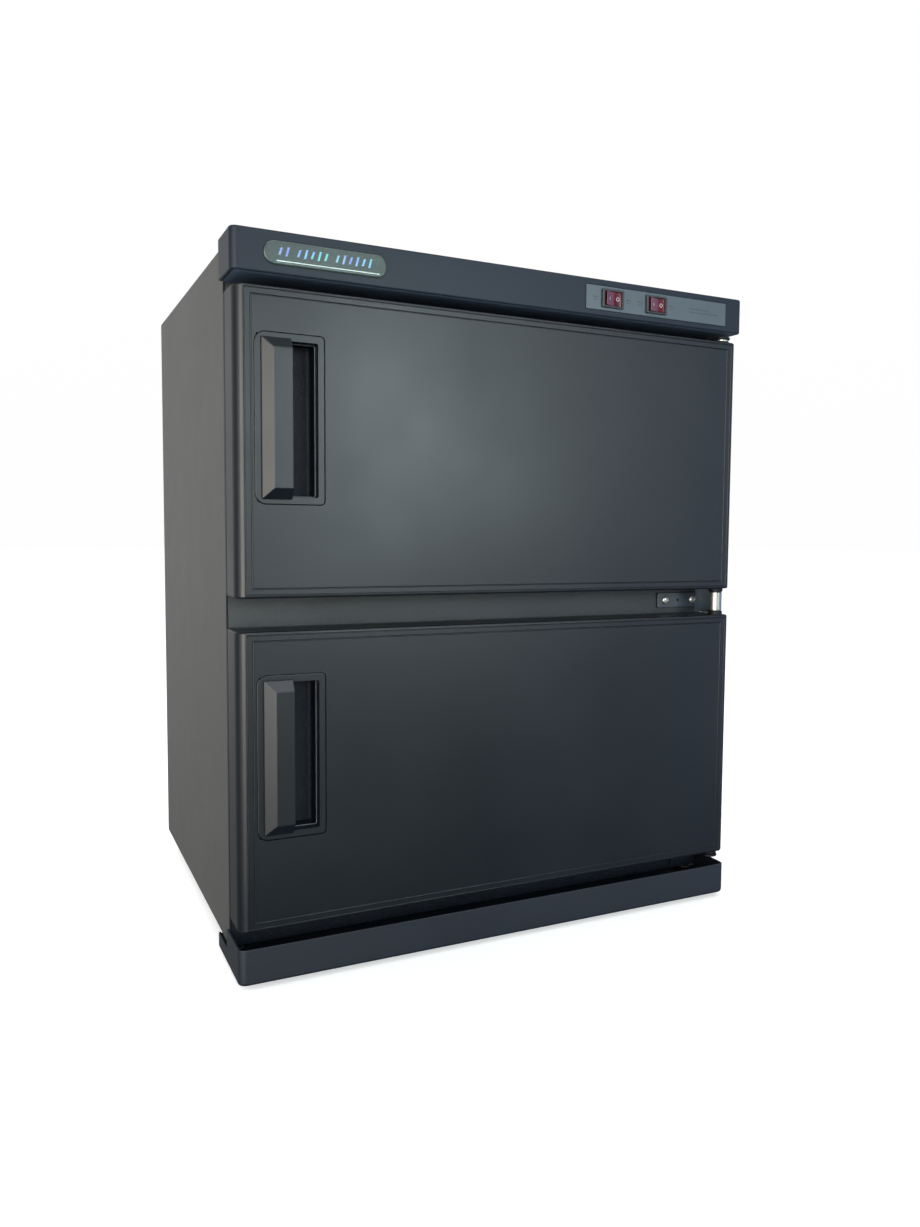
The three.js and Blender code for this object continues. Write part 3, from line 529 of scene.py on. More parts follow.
# Colour and amount of the specks on two of these surfaces, and their scale.
DUST = {"rubber": ((0.2, 0.2, 0.19), 0.1), "badge_foil": ((0.2, 0.32, 0.28), 0.2, 1600)}
MATERIALS = {}


def make_material(name):
    if name in PLASTICS:
        return plastic(name, *PLASTICS[name])
    if name in PAINTS:
        return paint(name, *PAINTS[name])
    if name in PLAIN:
        return plain(name, *PLAIN[name])
    return hologram(name)


def material_for(name):
    if name not in MATERIALS:
        MATERIALS[name] = make_material(name)
    return MATERIALS[name]


def dress_cad_nodes():
    """The CAD nodes that stay in view take the procedural material of their slot."""
    for entry in frame["record"]["subparts"]:
        node = frame["nodes"][entry["node"]]
        node.data.materials.clear()
        node.data.materials.append(material_for(entry["material_slot"]))


# ------------------------------------------------------------------ case


def make_wrap():
    """The folded sheet over the top and both sides, with rounded folds, and a dark band along its front edge that
    is painted shade of the gap by the doors.
    """
    low, high = box_of("outer_wrap")
    sheet = 1.0
    fold = 3.5

    def arch(inset):
        x0, x1, top = low.x + inset, high.x - inset, high.z - inset
        radius = fold - inset
        corners = rounded_outline((x0, x1), (low.z, top), (0, 0, radius, radius), 6)
        bottom_left = (x0, low.z)
        upper = [point for point in corners if point[1] > low.z + 1]
        return [(x1, low.z), *upper, bottom_left]

    outline = arch(0) + arch(sheet)[::-1]
    edge = low.y + 2.2
    shell = extruded("case_wrap", "y", outline, (edge, high.y))
    piece(bevel(shell, 0.25, segments=2, angle=60), "cabinet", "case_paint", "outer_wrap")
    # A dark band on the sheet's front edge: painted shade of the gap between case and doors.
    piece(extruded("case_edge", "y", outline, (low.y, edge)), "cabinet", "dark_paint_and_painted_shade")


LINER_FLANGE = 10
LINER_CORNER = 4


def make_front_frame():
    """The face sheet, with a round-cornered window to each chamber, and a sill below the doors whose dark colour
    is painted shade.
    """
    low, high = box_of("front_frame")
    sill_top = door_box("lower")[0].z + 4
    windows = []
    for level in LEVELS:
        opening = facing(*box_of(f"{level}_chamber_liner"), LINER_FLANGE)
        through = span(low.y, high.y, -OVERCUT)
        windows.append(rounded_slab("cutter", "y", *opening, through, corner=LINER_CORNER, edge=0.1))
    sheet = carve(block("face_sheet", (low.x, high.x), (low.y, high.y), (sill_top, high.z)), *windows)
    piece(bevel(sheet, 0.2, segments=2, angle=60), "cabinet", "rail_paint", "front_frame")
    # The sill's dark colour is painted shade under the lower door.
    sill = block("face_sill", (low.x, high.x), (low.y, high.y), (low.z, sill_top))
    piece(bevel(sill, 0.2, segments=2, angle=60), "cabinet", "dark_paint_and_painted_shade")


SOFTENED = {
    "back_panel": ("cabinet", "case_paint", 0.25),
    "base_pan": ("cabinet", "case_paint", 0.2),
    "terminal_block": ("cabinet", "white_plastic", 0.4),
    "uv_lamp_ballast": ("cabinet", "zinc_steel", 0.5),
    "uv_lamp_guard": ("cabinet", "aluminium", 0.2),
    "tray_runner_left": ("cabinet", "zinc_steel", 0.2),
    "tray_runner_right": ("cabinet", "zinc_steel", 0.2),
}


def make_softened_parts():
    """Plain folded and boxed parts keep their shape, with every hard edge rounded."""
    for node, (body, material, width) in SOFTENED.items():
        source = frame["nodes"][node]
        bm = bmesh.new()
        bm.from_mesh(source.data)
        bmesh.ops.transform(bm, matrix=source.matrix_world, verts=bm.verts)
        bmesh.ops.dissolve_limit(bm, angle_limit=radians(1), verts=bm.verts, edges=bm.edges)
        soft = from_bmesh(bm, f"{node}_softened", unit=1)
        piece(bevel(soft, width, segments=2, angle=40), body, material, node)


def make_feet():
    for node in [name for name in frame["nodes"] if name.startswith("foot_")]:
        low, high = box_of(node)
        centre = middle_of(node)
        top = high.z
        wide = (high.x - low.x) / 2
        narrow = wide - 2
        profile = [
            (3, 4), (4, 1.5), (5, 0.4), (6, 0), (narrow - 1.6, 0), (narrow - 0.5, 0.5), (narrow, 1.6),
            (wide - 0.4, top - 2.5), (wide, top - 1.5), (wide, top - 0.6), (wide - 0.6, top),
        ]
        piece(lathe(f"rubber_{node}", "z", (centre.x, centre.y), profile), "cabinet", "rubber", node)


def phillips_screw(name, x, z, seat, crown, radius):
    """A pan head across Y with a cross recess; crown is its top, on either side of its seat."""
    rise = crown - seat
    profile = [(radius * 0.96, seat), (radius, seat + rise * 0.2)]
    for angle in quarter_turn()[1:]:
        profile.append((radius * (0.25 + 0.75 * cos(angle)), seat + rise * (0.2 + 0.8 * sin(angle))))
    head = lathe(name, "y", (x, z), profile, 32)
    arm, half = radius * 0.55, radius * 0.11
    ys = sorted((crown + rise, crown - rise * 0.45))
    cross = fuse(
        block("cutter", around(x, arm), ys, around(z, half)),
        block("cutter", around(x, half), ys, around(z, arm)),
    )
    return carve(head, cross)


def make_back_screws():
    for node in [name for name in frame["nodes"] if name.startswith("back_screw_")]:
        crown = box_of(node)[1].y
        centre = middle_of(node)
        seat = box_of("back_panel")[1].y + 0.2
        head = phillips_screw(f"head_of_{node}", centre.x, centre.z, seat, crown, radius=4)
        piece(head, "cabinet", "zinc_steel", node)


def make_inlet():
    """The appliance inlet: chamfered socket, flange and three bright blades."""
    low, high = box_of("power_inlet")
    centre = middle_of("power_inlet")
    face = high.y
    flange = rounded_slab("inlet_housing", "y", *facing(low, high), (face - 1.7, face), corner=3, edge=0.5)
    body_x, body_z = around(centre.x, 13.3), around(centre.z, 9.7)
    body = rounded_slab("inlet_body", "y", body_x, body_z, (low.y, face - 1), corner=2, edge=0.3)
    slope = 4.5
    x0, x1 = around(centre.x, 11.4)
    z0, z1 = around(centre.z, 7.8)
    chamfers = [(x1, z1 - slope), (x1 - slope, z1), (x0 + slope, z1), (x0, z1 - slope)]
    socket = extruded("cutter", "y", [(x0, z0), (x1, z0), *chamfers], (low.y + 2, face + 1))
    housing = carve(fuse(flange, body), bevel(socket, 0.6, segments=2))
    piece(housing, "cabinet", "switch_black", "power_inlet")
    for index, (right, up) in enumerate(((-7, -1.75), (0, 1.75), (7, -1.75))):
        xs, zs = around(centre.x + right, 1), around(centre.z + up, 2)
        blade = block(f"inlet_blade_{index}", xs, (low.y + 1.5, face - 4), zs)
        piece(bevel(blade, 0.5), "cabinet", "zinc_steel")


# ------------------------------------------------------------------ doors

DOOR_EDGE = 1.5
DOOR_CORNER = 7
DOOR_CORNER_DEPTH = 11


def groove(name, x, z, corner, width, depth, front):
    """A rectangular ring cutter with a round section, for a line pressed into a front face."""

    def ring(grow):
        radius = max(corner + grow, 0.2)
        return rounded_outline(span(*x, -grow), span(*z, -grow), radius, 4)

    half = width / 2
    stations = [(ring(half), front - 1)]
    for angle in even_steps(pi, 8):
        stations.append((ring(half * cos(angle)), front + depth * sin(angle)))
    stations.append((ring(-half), front - 1))
    return loft(name, "y", stations, closed=True)


def door_block(level):
    """The door as a solid: round front corners up the sides, softly rounded top and bottom."""
    low, high = door_box(level)
    stretch = DOOR_CORNER_DEPTH / DOOR_CORNER

    def outline(inset):
        front = DOOR_CORNER - inset
        depth = (high.y - low.y - inset) / stretch
        corners = (front, front, 0.5, 0.5)
        points = rounded_outline(span(low.x, high.x, inset), (0, depth), corners, 10)
        return [(x, low.y + inset + y * stretch) for x, y in points]

    return loft(f"{level}_door_front", "z", fillet_stations(outline, low.z, high.z, DOOR_EDGE, 5))


def door_box(level):
    """The door shell's box without its hinge collars."""
    low, high = box_of(f"{level}_door_shell")
    panel_low, panel_high = box_of(f"{level}_door_inner_panel")
    wall = 2.8
    return Vector((low.x, low.y, panel_low.z - wall)), Vector((high.x, high.y, panel_high.z + wall))


def handle_outline(level, grow):
    low, high = box_of(f"{level}_handle_cup")
    radii = [radius + grow for radius in (8, 3.5, 3.5, 8)]
    return rounded_outline(*facing(low, high, -grow), radii, 8)


def make_door_front(level):
    """The moulded front: two pressed lines, a hole for the handle, a parting line and an open back."""
    low, high = door_box(level)
    front = low.y
    outer_line = (span(low.x, high.x, 7.1), span(low.z, high.z, 2.5), 1.5)
    inner_line = (span(low.x, high.x, 11.8), span(low.z, high.z, 7), 0.6)
    cup_low, cup_high = box_of(f"{level}_handle_cup")
    cavity_x, cavity_z = facing(cup_low, cup_high, 1.5)
    back_x, back_z = facing(low, high, 2.5)
    door = carve(
        door_block(level),
        groove("cutter", *outer_line, 1, 0.55, front),
        groove("cutter", *inner_line, 1.3, 0.7, front),
        extruded("cutter", "y", handle_outline(level, 0.3), (front - OVERCUT, front + 3)),
        block("cutter", cavity_x, (front - OVERCUT, cup_high.y + OVERCUT), cavity_z),
        parting_line(low, high),
        block("cutter", back_x, (high.y - 1.6, high.y + OVERCUT), back_z),
    )
    piece(door, f"{level}_door", "door_plastic", f"{level}_door_shell")


def parting_line(low, high):
    """A cutter for the shallow seam round the door, just in front of its back edge."""
    width, depth = 1.8, 1
    back = high.y - 2.5
    outside_x, outside_z = facing(low, high, -OVERCUT)
    inside_x, inside_z = facing(low, high, depth)
    return carve(
        block("cutter", outside_x, (back - width, back), outside_z),
        block("core", inside_x, (back - width - 0.2, back + OVERCUT), inside_z),
    )


def make_hinge_collars():
    """The moulded collars on the doors' top and bottom edges, round the hinge pins."""
    axis = joint_point("upper_door_hinge")
    reach = 3.3
    washer = 1.6
    for level in LEVELS:
        low, high = door_box(level)
        top = high.z + reach - (washer if level == "upper" else 0)
        for end, zs in (("bottom", (low.z - reach, low.z + 1)), ("top", (high.z - 1, top))):
            profile = chamfered(6.5, *zs, edge=0.5)
            collar = lathe(f"{level}_{end}_hinge_collar", "z", (axis.x, axis.y), profile)
            piece(collar, f"{level}_door", "dark_paint_and_painted_shade")
    washer_z = (high.z + reach - washer, high.z + reach)
    ring = lathe("top_hinge_washer", "z", (axis.x, axis.y), chamfered(5.6, *washer_z, edge=0.3))
    piece(ring, "upper_door", "bright_zinc")


def make_handle_cup(level):
    """The insert: flange flush with the door, pocket with a round-cornered floor."""
    low, high = box_of(f"{level}_handle_cup")
    grip_right = box_of(f"{level}_handle_grip")[1].x
    front = low.y
    middle = (low.z + high.z) / 2
    pocket_half = 56.75
    pocket_left = low.x + 6.4
    pocket_floor = high.y - 2
    edge = 0.8

    def outline(inset):
        return handle_outline(level, -inset)

    flange_depth = 2
    stations = [(outline(0), front + flange_depth), (outline(0), front + edge)]
    for angle in quarter_turn(4)[1:]:
        stations.append((outline(edge * (1 - cos(angle))), front + edge * (1 - sin(angle))))
    flange = loft("flange", "y", stations)
    cup = rounded_slab("cup", "y", *facing(low, high, 3), (front + 1, high.y), corner=5, edge=3)
    pocket_z = around(middle, pocket_half)
    mouth_x = (grip_right - 0.2, high.x - 5)
    mouth_y = (front - 2, front + 8)
    mouth = rounded_slab("cutter", "y", mouth_x, pocket_z, mouth_y, corner=1.2, edge=0.2)
    pocket_x = (pocket_left, mouth_x[1])
    hollow_y = (front + 2.5, pocket_floor)
    corners = (5, 1.2, 1.2, 5)
    hollow = rounded_slab("cutter", "y", pocket_x, pocket_z, hollow_y, corners, edge=0.3)
    insert = carve(fuse(flange, cup), mouth, hollow)
    insert.name = f"{level}_handle_insert"
    piece(insert, f"{level}_door", "door_plastic", f"{level}_handle_cup")
    make_pocket_cove(level, *pocket_x, pocket_z, pocket_floor)
    make_pocket_rim(level, mouth_x, pocket_z, front)


def make_pocket_cove(level, x0, x1, z, floor):
    """A thin sheet with which the pocket's floor curves up into its walls; its dark colour is painted shade in the
    pocket.
    """
    wide, tight = 9, 3
    clear = 0.1
    left = [(x0 + wide * (1 - cos(a)), floor - wide * (1 - sin(a))) for a in quarter_turn(8)]
    right = [(x1 - tight * (1 - cos(a)), floor - tight * (1 - sin(a))) for a in reversed(quarter_turn(8))]
    bm = bmesh.new()
    rows = [[bm.verts.new((x, y - clear, place)) for x, y in left + right] for place in span(*z, clear)]
    for i in range(len(rows[0]) - 1):
        bm.faces.new((rows[0][i], rows[0][i + 1], rows[1][i + 1], rows[1][i]))
    cove = from_bmesh(bm, f"{level}_pocket_painted_shade")
    solidify = cove.modifiers.new("solidify", "SOLIDIFY")
    solidify.thickness = 0.08 * MM
    # Dark colour: painted shade inside the pocket.
    piece(bake(cove), f"{level}_door", "dark_paint_and_painted_shade", smooth_angle=60)


def make_pocket_rim(level, x, z, front):
    """A thin raised bead just inside the pocket's right-hand wall."""
    y = front + 8
    start, bend = x[0] + 1, x[1] - 0.4
    bottom, top = span(*z, 0.6)
    path = rounded_path([(start, y, top), (bend, y, top), (bend, y, bottom), (start, y, bottom)], 1.5)
    piece(wires(f"{level}_pocket_bead", [path], 0.5), f"{level}_door", "bracket_paint")


def make_grip(level):
    """The raised grip: a bar with wide bevels at its left, top and bottom."""
    low, high = box_of(f"{level}_handle_grip")
    slope = 8
    shoulder = 1

    def outline(inset):
        left, right = low.x + inset, high.x
        bottom, top = span(low.z, high.z, inset)
        return [(left, bottom), (right, bottom), (right, top), (left, top)]

    stations = [(outline(0), high.y + 0.2), (outline(0), high.y - shoulder), (outline(slope), low.y)]
    grip = loft(f"{level}_grip", "y", stations)
    bevel(grip, 1.7, segments=5, angle=20)
    piece(grip, f"{level}_door", "door_plastic", f"{level}_handle_grip", smooth_angle=50)


def make_gasket(level):
    """A bellows gasket: its section has two folds, swept round the door."""
    low, high = box_of(f"{level}_door_gasket")
    depth = high.y - low.y
    section = [
        (0, 0), (0, 0.22), (0.9, 0.34), (0.9, 0.42), (0.1, 0.55), (0, 0.7), (0.6, 0.94), (2, 1),
        (10, 1), (11.4, 0.94), (12, 0.7), (11.9, 0.55), (11.1, 0.42), (11.1, 0.34), (12, 0.22), (12, 0),
    ]
    stations = []
    for inset, along in section:
        outline = rounded_outline(*facing(low, high, inset), 14 - inset, 5)
        stations.append((outline, low.y + along * depth))
    ring = loft(f"{level}_gasket", "y", stations, closed=True)
    piece(ring, f"{level}_door", "gasket_grey", f"{level}_door_gasket", smooth_angle=50)


def make_inner_panel(level):
    """The white liner of the door: a raised field with round corners and a shallow bead."""
    low, high = box_of(f"{level}_door_inner_panel")
    back = box_of(f"{level}_door_shell")[1].y
    rise = high.y
    round_edge = 2.6
    bead = 16
    middle = middle_of(f"{level}_door_inner_panel")
    half_x, half_z = 168, 78

    def field(inset):
        radius = max(14 - inset, 2)
        x, z = around(middle.x, half_x - inset), around(middle.z, half_z - inset)
        return rounded_outline(x, z, radius, 6)

    edge = rounded_outline(*facing(low, high), 3, 6)
    stations = [(edge, back - 1.4), (edge, back)]
    stations += [(field(-2.2), back), (field(-0.8), back + 0.6), (field(0), back + 2)]
    for angle in quarter_turn(4):
        inset = 0.4 + round_edge * (1 - cos(angle))
        stations.append((field(inset), rise - round_edge * (1 - sin(angle))))
    for inset, drop in ((0, 0), (1.2, 0.9), (3.2, 1.6), (5.2, 0.9), (6.4, 0)):
        stations.append((field(bead + inset), rise - drop))
    panel = loft(f"{level}_door_liner", "y", stations, cap_start=False)
    piece(panel, f"{level}_door", "white_plastic", f"{level}_door_inner_panel")


def make_door(level):
    make_door_front(level)
    make_handle_cup(level)
    make_grip(level)
    make_gasket(level)
    make_inner_panel(level)


# ------------------------------------------------------------------ head and switches


USES = ("uv", "heat")


def switch_wells(y):
    """Cutters for the holes that the two switches' bodies pass through."""
    centres = [middle_of(f"{use}_switch_housing") for use in USES]
    return [block("cutter", around(centre.x, 9.9), y, around(centre.z, 7)) for centre in centres]


def make_head():
    """The moulded head, open to the back, with a recess for the switch panel and a matt soffit sheet whose lighter
    colour is painted bounce light under the head.
    """
    low, high = box_of("head_fascia")
    corner = 5.5
    wall = 2.5

    def outline(inset):
        front = max(corner - inset, 1)
        return rounded_outline(
            span(low.x, high.x, inset), (low.y + inset, high.y), (front, front, 0.5, 0.5), 8
        )

    head = loft("head_cover", "z", fillet_stations(outline, low.z, high.z, 1.4, 5))
    recess_x, recess_z = facing(*box_of("switch_panel"), -0.6)
    recess_y = (low.y - OVERCUT, low.y + 0.5)
    recess = rounded_slab("cutter", "y", recess_x, recess_z, recess_y, corner=0.8, edge=0.1)
    hollow_x, hollow_z = facing(low, high, wall)
    hollow = block("cutter", hollow_x, (low.y + wall, high.y + OVERCUT), hollow_z)
    wells = switch_wells((low.y - OVERCUT, low.y + 4))
    carve(head, recess, hollow, *wells)
    piece(head, "cabinet", "head_plastic", "head_fascia")
    lip = 3
    soffit_z = (low.z - 0.3, low.z + 0.5)
    # The soffit sheet is lighter than the head: painted bounce light on its underside.
    soffit = block("head_soffit", span(low.x, high.x, lip), (low.y + lip, high.y), soffit_z)
    piece(soffit, "cabinet", "soffit_painted_bounce")


def make_switch_panel():
    low, high = box_of("switch_panel")
    plate = rounded_slab("switch_plate", "y", *facing(low, high), (high.y, low.y), corner=0.7, edge=0.2)
    carve(plate, *switch_wells(span(low.y, high.y, -OVERCUT)))
    piece(plate, "cabinet", "silver_plate", "switch_panel")
    make_panel_marks(low)


def make_panel_marks(low):
    """Printed bars in place of words: a pair beside each switch and a rule at the right."""
    marks = []
    for use in USES:
        centre = middle_of(f"{use}_switch_housing")
        for side in (-1, 1):
            x = centre.x + side * 16.5
            marks.append((around(x, 2.5), (centre.z + 0.3, centre.z + 1.1)))
            marks.append((around(x, 1.6), (centre.z - 1.9, centre.z - 1.3)))
    rule_x, rule_z = low.x + 106, low.z + 8
    marks.append(((rule_x, rule_x + 32), (rule_z, rule_z + 0.6)))
    marks.append(((rule_x, rule_x + 22), (rule_z + 3, rule_z + 3.6)))
    along = (low.y, low.y - 0.05)
    bars = [rounded_slab("mark", "y", x, z, along, corner=0.25, edge=0.01, steps=1) for x, z in marks]
    piece(merge(*bars, name="panel_print"), "cabinet", "printed_grey")


def make_switch(use):
    """The bezel and well of a rocker switch, then the rocker with its two marks."""
    low, high = box_of(f"{use}_switch_housing")
    centre = middle_of(f"{use}_switch_housing")
    front = low.y
    bezel_y = (front + 2, front)
    bezel = rounded_slab(f"{use}_switch_bezel", "y", *facing(low, high), bezel_y, corner=1, edge=0.7)
    body = block("body", around(centre.x, 9.6), (front + 1, front + 24), around(centre.z, 6.7))
    well_y = (front - OVERCUT, front + 10)
    well_x, well_z = around(centre.x, 8.6), around(centre.z, 6.2)
    well = rounded_slab("cutter", "y", well_x, well_z, well_y, corner=0.5, edge=0.1)
    blade_y, blade_z = (front + 23, high.y), around(centre.z, 2.4)
    blades = [block("blade", around(centre.x + x, 0.4), blade_y, blade_z) for x in (-5, 0, 5)]
    housing = merge(carve(fuse(bezel, body), well), *blades)
    piece(housing, "cabinet", "switch_black", f"{use}_switch_housing")
    make_rocker(use)


def make_rocker(use):
    """The paddle, tilted as it rests, and the two marks printed on it."""
    axis = joint_point(f"{use}_rocker_tilt")
    tilt = Matrix.Translation(axis * MM) @ Matrix.Rotation(radians(8), 4, "Z")
    half, height = 7.9, 5.9

    def front_at(x):
        """How far the paddle stands in front of its pivot: a shallow, rounded V."""
        t = abs(x) / half
        return 1.8 + 1.1 * t**1.6

    columns = even_steps(2 * half, 24)
    back = [(half - 1, 3), (half - 3, 4), (-half + 3, 4), (-half + 1, 3)]
    section = [(x - half, -front_at(x - half)) for x in columns] + back
    paddle = extruded(f"{use}_rocker", "z", section, (-height, height))
    bevel(paddle, 0.45, angle=50)
    paddle.data.transform(tilt)
    piece(paddle, f"{use}_rocker", "red_rocker", f"{use}_switch_rocker")
    marks = merge(off_ring(front_at), on_dash(front_at), name=f"{use}_rocker_marks")
    marks.data.transform(tilt)
    piece(marks, f"{use}_rocker", "white_print")


MARK_OFFSET = 4.2  # from a rocker's middle to each of its marks


def off_ring(front_at):
    """The ring printed on the right-hand half of a rocker."""
    ring = [(1.6, 0.2), (1.6, -0.05), (1.15, -0.05), (1.15, 0.2)]
    stations = [(circle_outline(MARK_OFFSET, 0, radius), depth) for radius, depth in ring]
    return laid_on(loft("off_mark", "y", stations, closed=True), front_at)


def on_dash(front_at):
    """The upright dash printed on the left-hand half."""
    half_width, half_height = 0.2, 1.4
    x, z = around(-MARK_OFFSET, half_width), around(0, half_height)
    dash = rounded_slab("on_mark", "y", x, z, (0.2, -0.05), corner=0.25, edge=0.02, steps=1)
    return laid_on(dash, front_at)


def laid_on(mark, front_at):
    """Moves a flat mark on to the curved front of a rocker."""
    for vertex in mark.data.vertices:
        vertex.co.y -= front_at(vertex.co.x / MM) * MM
    return mark


def make_badge():
    """A domed pill of foil, with rows of plain slanting bars in rainbow foil and a bright line near its foot that
    is a painted highlight of the dome.
    """
    low, high = box_of("head_badge")

    def outline(inset):
        radius = (high.z - low.z) / 2 - 0.5 - inset
        return rounded_outline(*facing(low, high, inset), radius, 10)

    depth = high.y - low.y
    stations = [(outline(0), high.y)]
    for angle in quarter_turn(5):
        stations.append((outline(1.6 * (1 - cos(angle))), high.y - depth * (0.35 + 0.65 * sin(angle))))
    piece(loft("badge_dome", "y", stations), "cabinet", "badge_foil", "head_badge")
    bars = []
    x = low.x + 12
    for group in (2, 5, 6):
        for i in range(group):
            half_height = 3.3 if i % 2 else 2.6
            bars.append(slanted_bar(f"bar_{len(bars)}", x, low.z + 9.6, 0.75, half_height, low.y))
            x += 5
        x += 3.5
    # A bright bar near the foot: a painted highlight of the dome's lower edge.
    rule_x, rule_z = (low.x + 9, high.x - 6), around(low.z + 2.7, 0.3)
    streak_y = (low.y + 0.2, low.y - 0.05)
    rule = rounded_slab("badge_highlight_streak", "y", rule_x, rule_z, streak_y, corner=0.4, edge=0.02, steps=1)
    piece(merge(*bars, name="badge_marks"), "cabinet", "hologram")
    piece(rule, "cabinet", "badge_painted_highlight")


def slanted_bar(name, x, z, half_width, half_height, front):
    lean = 0.9
    bottom, top = around(x - lean, half_width), around(x + lean, half_width)
    z0, z1 = around(z, half_height)
    outline = [(bottom[0], z0), (bottom[1], z0), (top[1], z1), (top[0], z1)]
    return extruded(name, "y", outline, (front + 0.2, front - 0.05))


# ------------------------------------------------------------------ hinges


PILOT_X = 196


def make_mid_hinge():
    """The bracket between the doors: a screwed plate and a taller arm that runs out to the barrel."""
    low, high = box_of("mid_hinge_bracket")
    screw_z = middle_of("mid_bracket_screw_left").z
    sheet = 2
    back = high.y
    plate_front = back - sheet
    arm_inner = high.x - 2.5
    bend = 0.2
    fold_x = arm_inner - bend
    outer_bend = bend + sheet
    inside = [
        (arm_inner - bend * (1 - sin(a)), plate_front - bend * (1 - cos(a))) for a in quarter_turn()
    ]
    outside = [
        (high.x - outer_bend * (1 - cos(a)), back - outer_bend * (1 - sin(a))) for a in quarter_turn()
    ]
    ends = [(arm_inner, low.y), (high.x, low.y)]
    folded = [(fold_x, back), (fold_x, plate_front), *inside, *ends, *outside]
    arm_z = span(door_box("lower")[1].z, door_box("upper")[0].z, 0.5)
    arm = bevel(extruded("hinge_arm", "z", folded, arm_z), 0.15, segments=2, angle=50)
    # The arm is the bracket's paint made lighter: painted light where the doors shade it.
    piece(arm, "cabinet", "arm_painted_light")
    plate = rounded_slab(
        "hinge_bracket", "y", (low.x, fold_x + 1), around(screw_z, 7), (back, plate_front),
        corner=(0.8, 0.1, 0.1, 0.8), edge=0.35,
    )
    pilot = chamfered(1.2, plate_front - OVERCUT, back + OVERCUT, edge=0.1)
    carve(plate, lathe("cutter", "y", (PILOT_X, screw_z), pilot, 20))
    piece(plate, "cabinet", "bracket_paint", "mid_hinge_bracket")
    for side in ("left", "right"):
        node = f"mid_bracket_screw_{side}"
        centre = middle_of(node)
        crown = box_of(node)[0].y
        head = phillips_screw(f"head_of_{node}", centre.x, centre.z, plate_front, crown, radius=4)
        piece(head, "cabinet", "bright_zinc", node)
    make_barrel(joint_point("upper_door_hinge"))


def make_barrel(axis):
    """The polished sleeve on the middle pin, between the collars of the two doors."""
    low, high = box_of("mid_hinge_barrel")
    radius = (high.x - low.x) / 2
    pin = 3
    edge = 0.5
    bottom = box_of("lower_door_shell")[1].z + 0.3
    top = box_of("upper_door_shell")[0].z - 0.3
    profile = [
        (pin, low.z), (pin, bottom), (radius - edge, bottom), (radius, bottom + edge),
        (radius, top - edge), (radius - edge, top), (pin, top), (pin, high.z),
    ]
    barrel = lathe("hinge_barrel", "z", (axis.x, axis.y), profile, 64)
    piece(barrel, "cabinet", "polished_steel", "mid_hinge_barrel")


def make_end_hinge(node):
    """A folded end plate, softened at its fold and edges, with a bright pin."""
    low, high = box_of(node)
    axis = joint_point("upper_door_hinge")
    upward = node.startswith("top")
    plate = 2
    reach = 7
    back = high.y
    if upward:
        tongue_low = door_box("upper")[1].z + 3.5
        leg_z = (tongue_low, high.z)
        pin_z = (low.z, tongue_low + plate + 0.8)
    else:
        tongue_low = door_box("lower")[0].z - 3.8 - plate
        leg_z = (low.z, tongue_low + plate)
        pin_z = (tongue_low - 0.8, high.z)
    tongue = rounded_slab(
        f"{node}_fold", "z", around(axis.x, reach), (axis.y - reach, back),
        (tongue_low, tongue_low + plate), corner=(6.5, 6.5, 0.3, 0.3), edge=0.3,
    )
    leg_x, leg_y = (low.x, axis.x + 6), (back - plate, back)
    leg = rounded_slab("leg", "y", leg_x, leg_z, leg_y, corner=1.5, edge=0.3)
    piece(merge(tongue, leg), "cabinet", "dark_paint_and_painted_shade", node)
    pin = lathe(f"{node}_pin", "z", (axis.x, axis.y), chamfered(3, *pin_z, edge=0.5))
    piece(pin, "cabinet", "bright_zinc")


# ------------------------------------------------------------------ drip tray


def tub(name, x, y, corners, profile):
    """A solid with round upright corners, drawn in at each height by the inset that the profile gives."""
    stations = []
    for inset, z in profile:
        stations.append((rounded_outline(span(*x, inset), span(*y, inset), corners, 8), z))
    return loft(name, "z", stations)


def make_tray():
    """One moulding: high front trough, low rear part, thin rounded lip and short ribs."""
    low, high = box_of("drip_tray")
    frame_front = box_of("front_frame")[0].y
    wall = 1.7
    rear_top = box_of("outer_wrap")[0].z - 1.1
    bottom, top, floor = low.z, high.z, low.z + wall
    outside = [
        (2.4, bottom), (0.9, bottom + 0.5), (0.2, bottom + 1.6), (0, bottom + 3),
        (0, top - 0.5), (0.15, top - 0.15), (0.5, top),
    ]
    inside = [
        (2, floor), (0.6, floor + 0.6), (0, floor + 2),
        (0, top - 0.5), (-0.5, top + 0.1), (-0.5, top + 3),
    ]
    inner_x = span(low.x, high.x, wall)
    inner_y = span(low.y, high.y, wall)
    tray = tub("tray_body", (low.x, high.x), (low.y, high.y), (6, 6, 1, 1), outside)
    hollow = tub("cutter", inner_x, inner_y, (4, 4, 2, 2), inside)
    past_back, past_top = high.y + OVERCUT, high.z + OVERCUT
    rear_x, rear_y = span(low.x, high.x, -OVERCUT), (frame_front + 3, past_back)
    rear_cut = block("cutter", rear_x, rear_y, (rear_top, past_top))
    runner_cut = block("cutter", inner_x, (inner_y[1] - 1, past_back), (rear_top - 3.5, past_top))
    carve(tray, hollow, rear_cut, runner_cut)
    count, pitch = 7, 57
    rib_y, rib_z = (low.y + 1, low.y + 4), (low.z + 1, high.z - 2)
    ribs = []
    for i in range(count):
        x = (i - (count - 1) / 2) * pitch + pitch / 2 - 1
        ribs.append(block("rib", around(x, 0.75), rib_y, rib_z))
    edge = high.x - wall + 1
    lip_y, lip_z = (frame_front + 1, inner_y[1] - 1), (rear_top - 1.5, rear_top)
    lips = [block("lip", x, lip_y, lip_z) for x in ((-edge, 8 - edge), (edge - 8, edge))]
    merge(tray, *ribs, *lips)
    piece(tray, "drip_tray", "tray_plastic", "drip_tray")


# ------------------------------------------------------------------ chambers


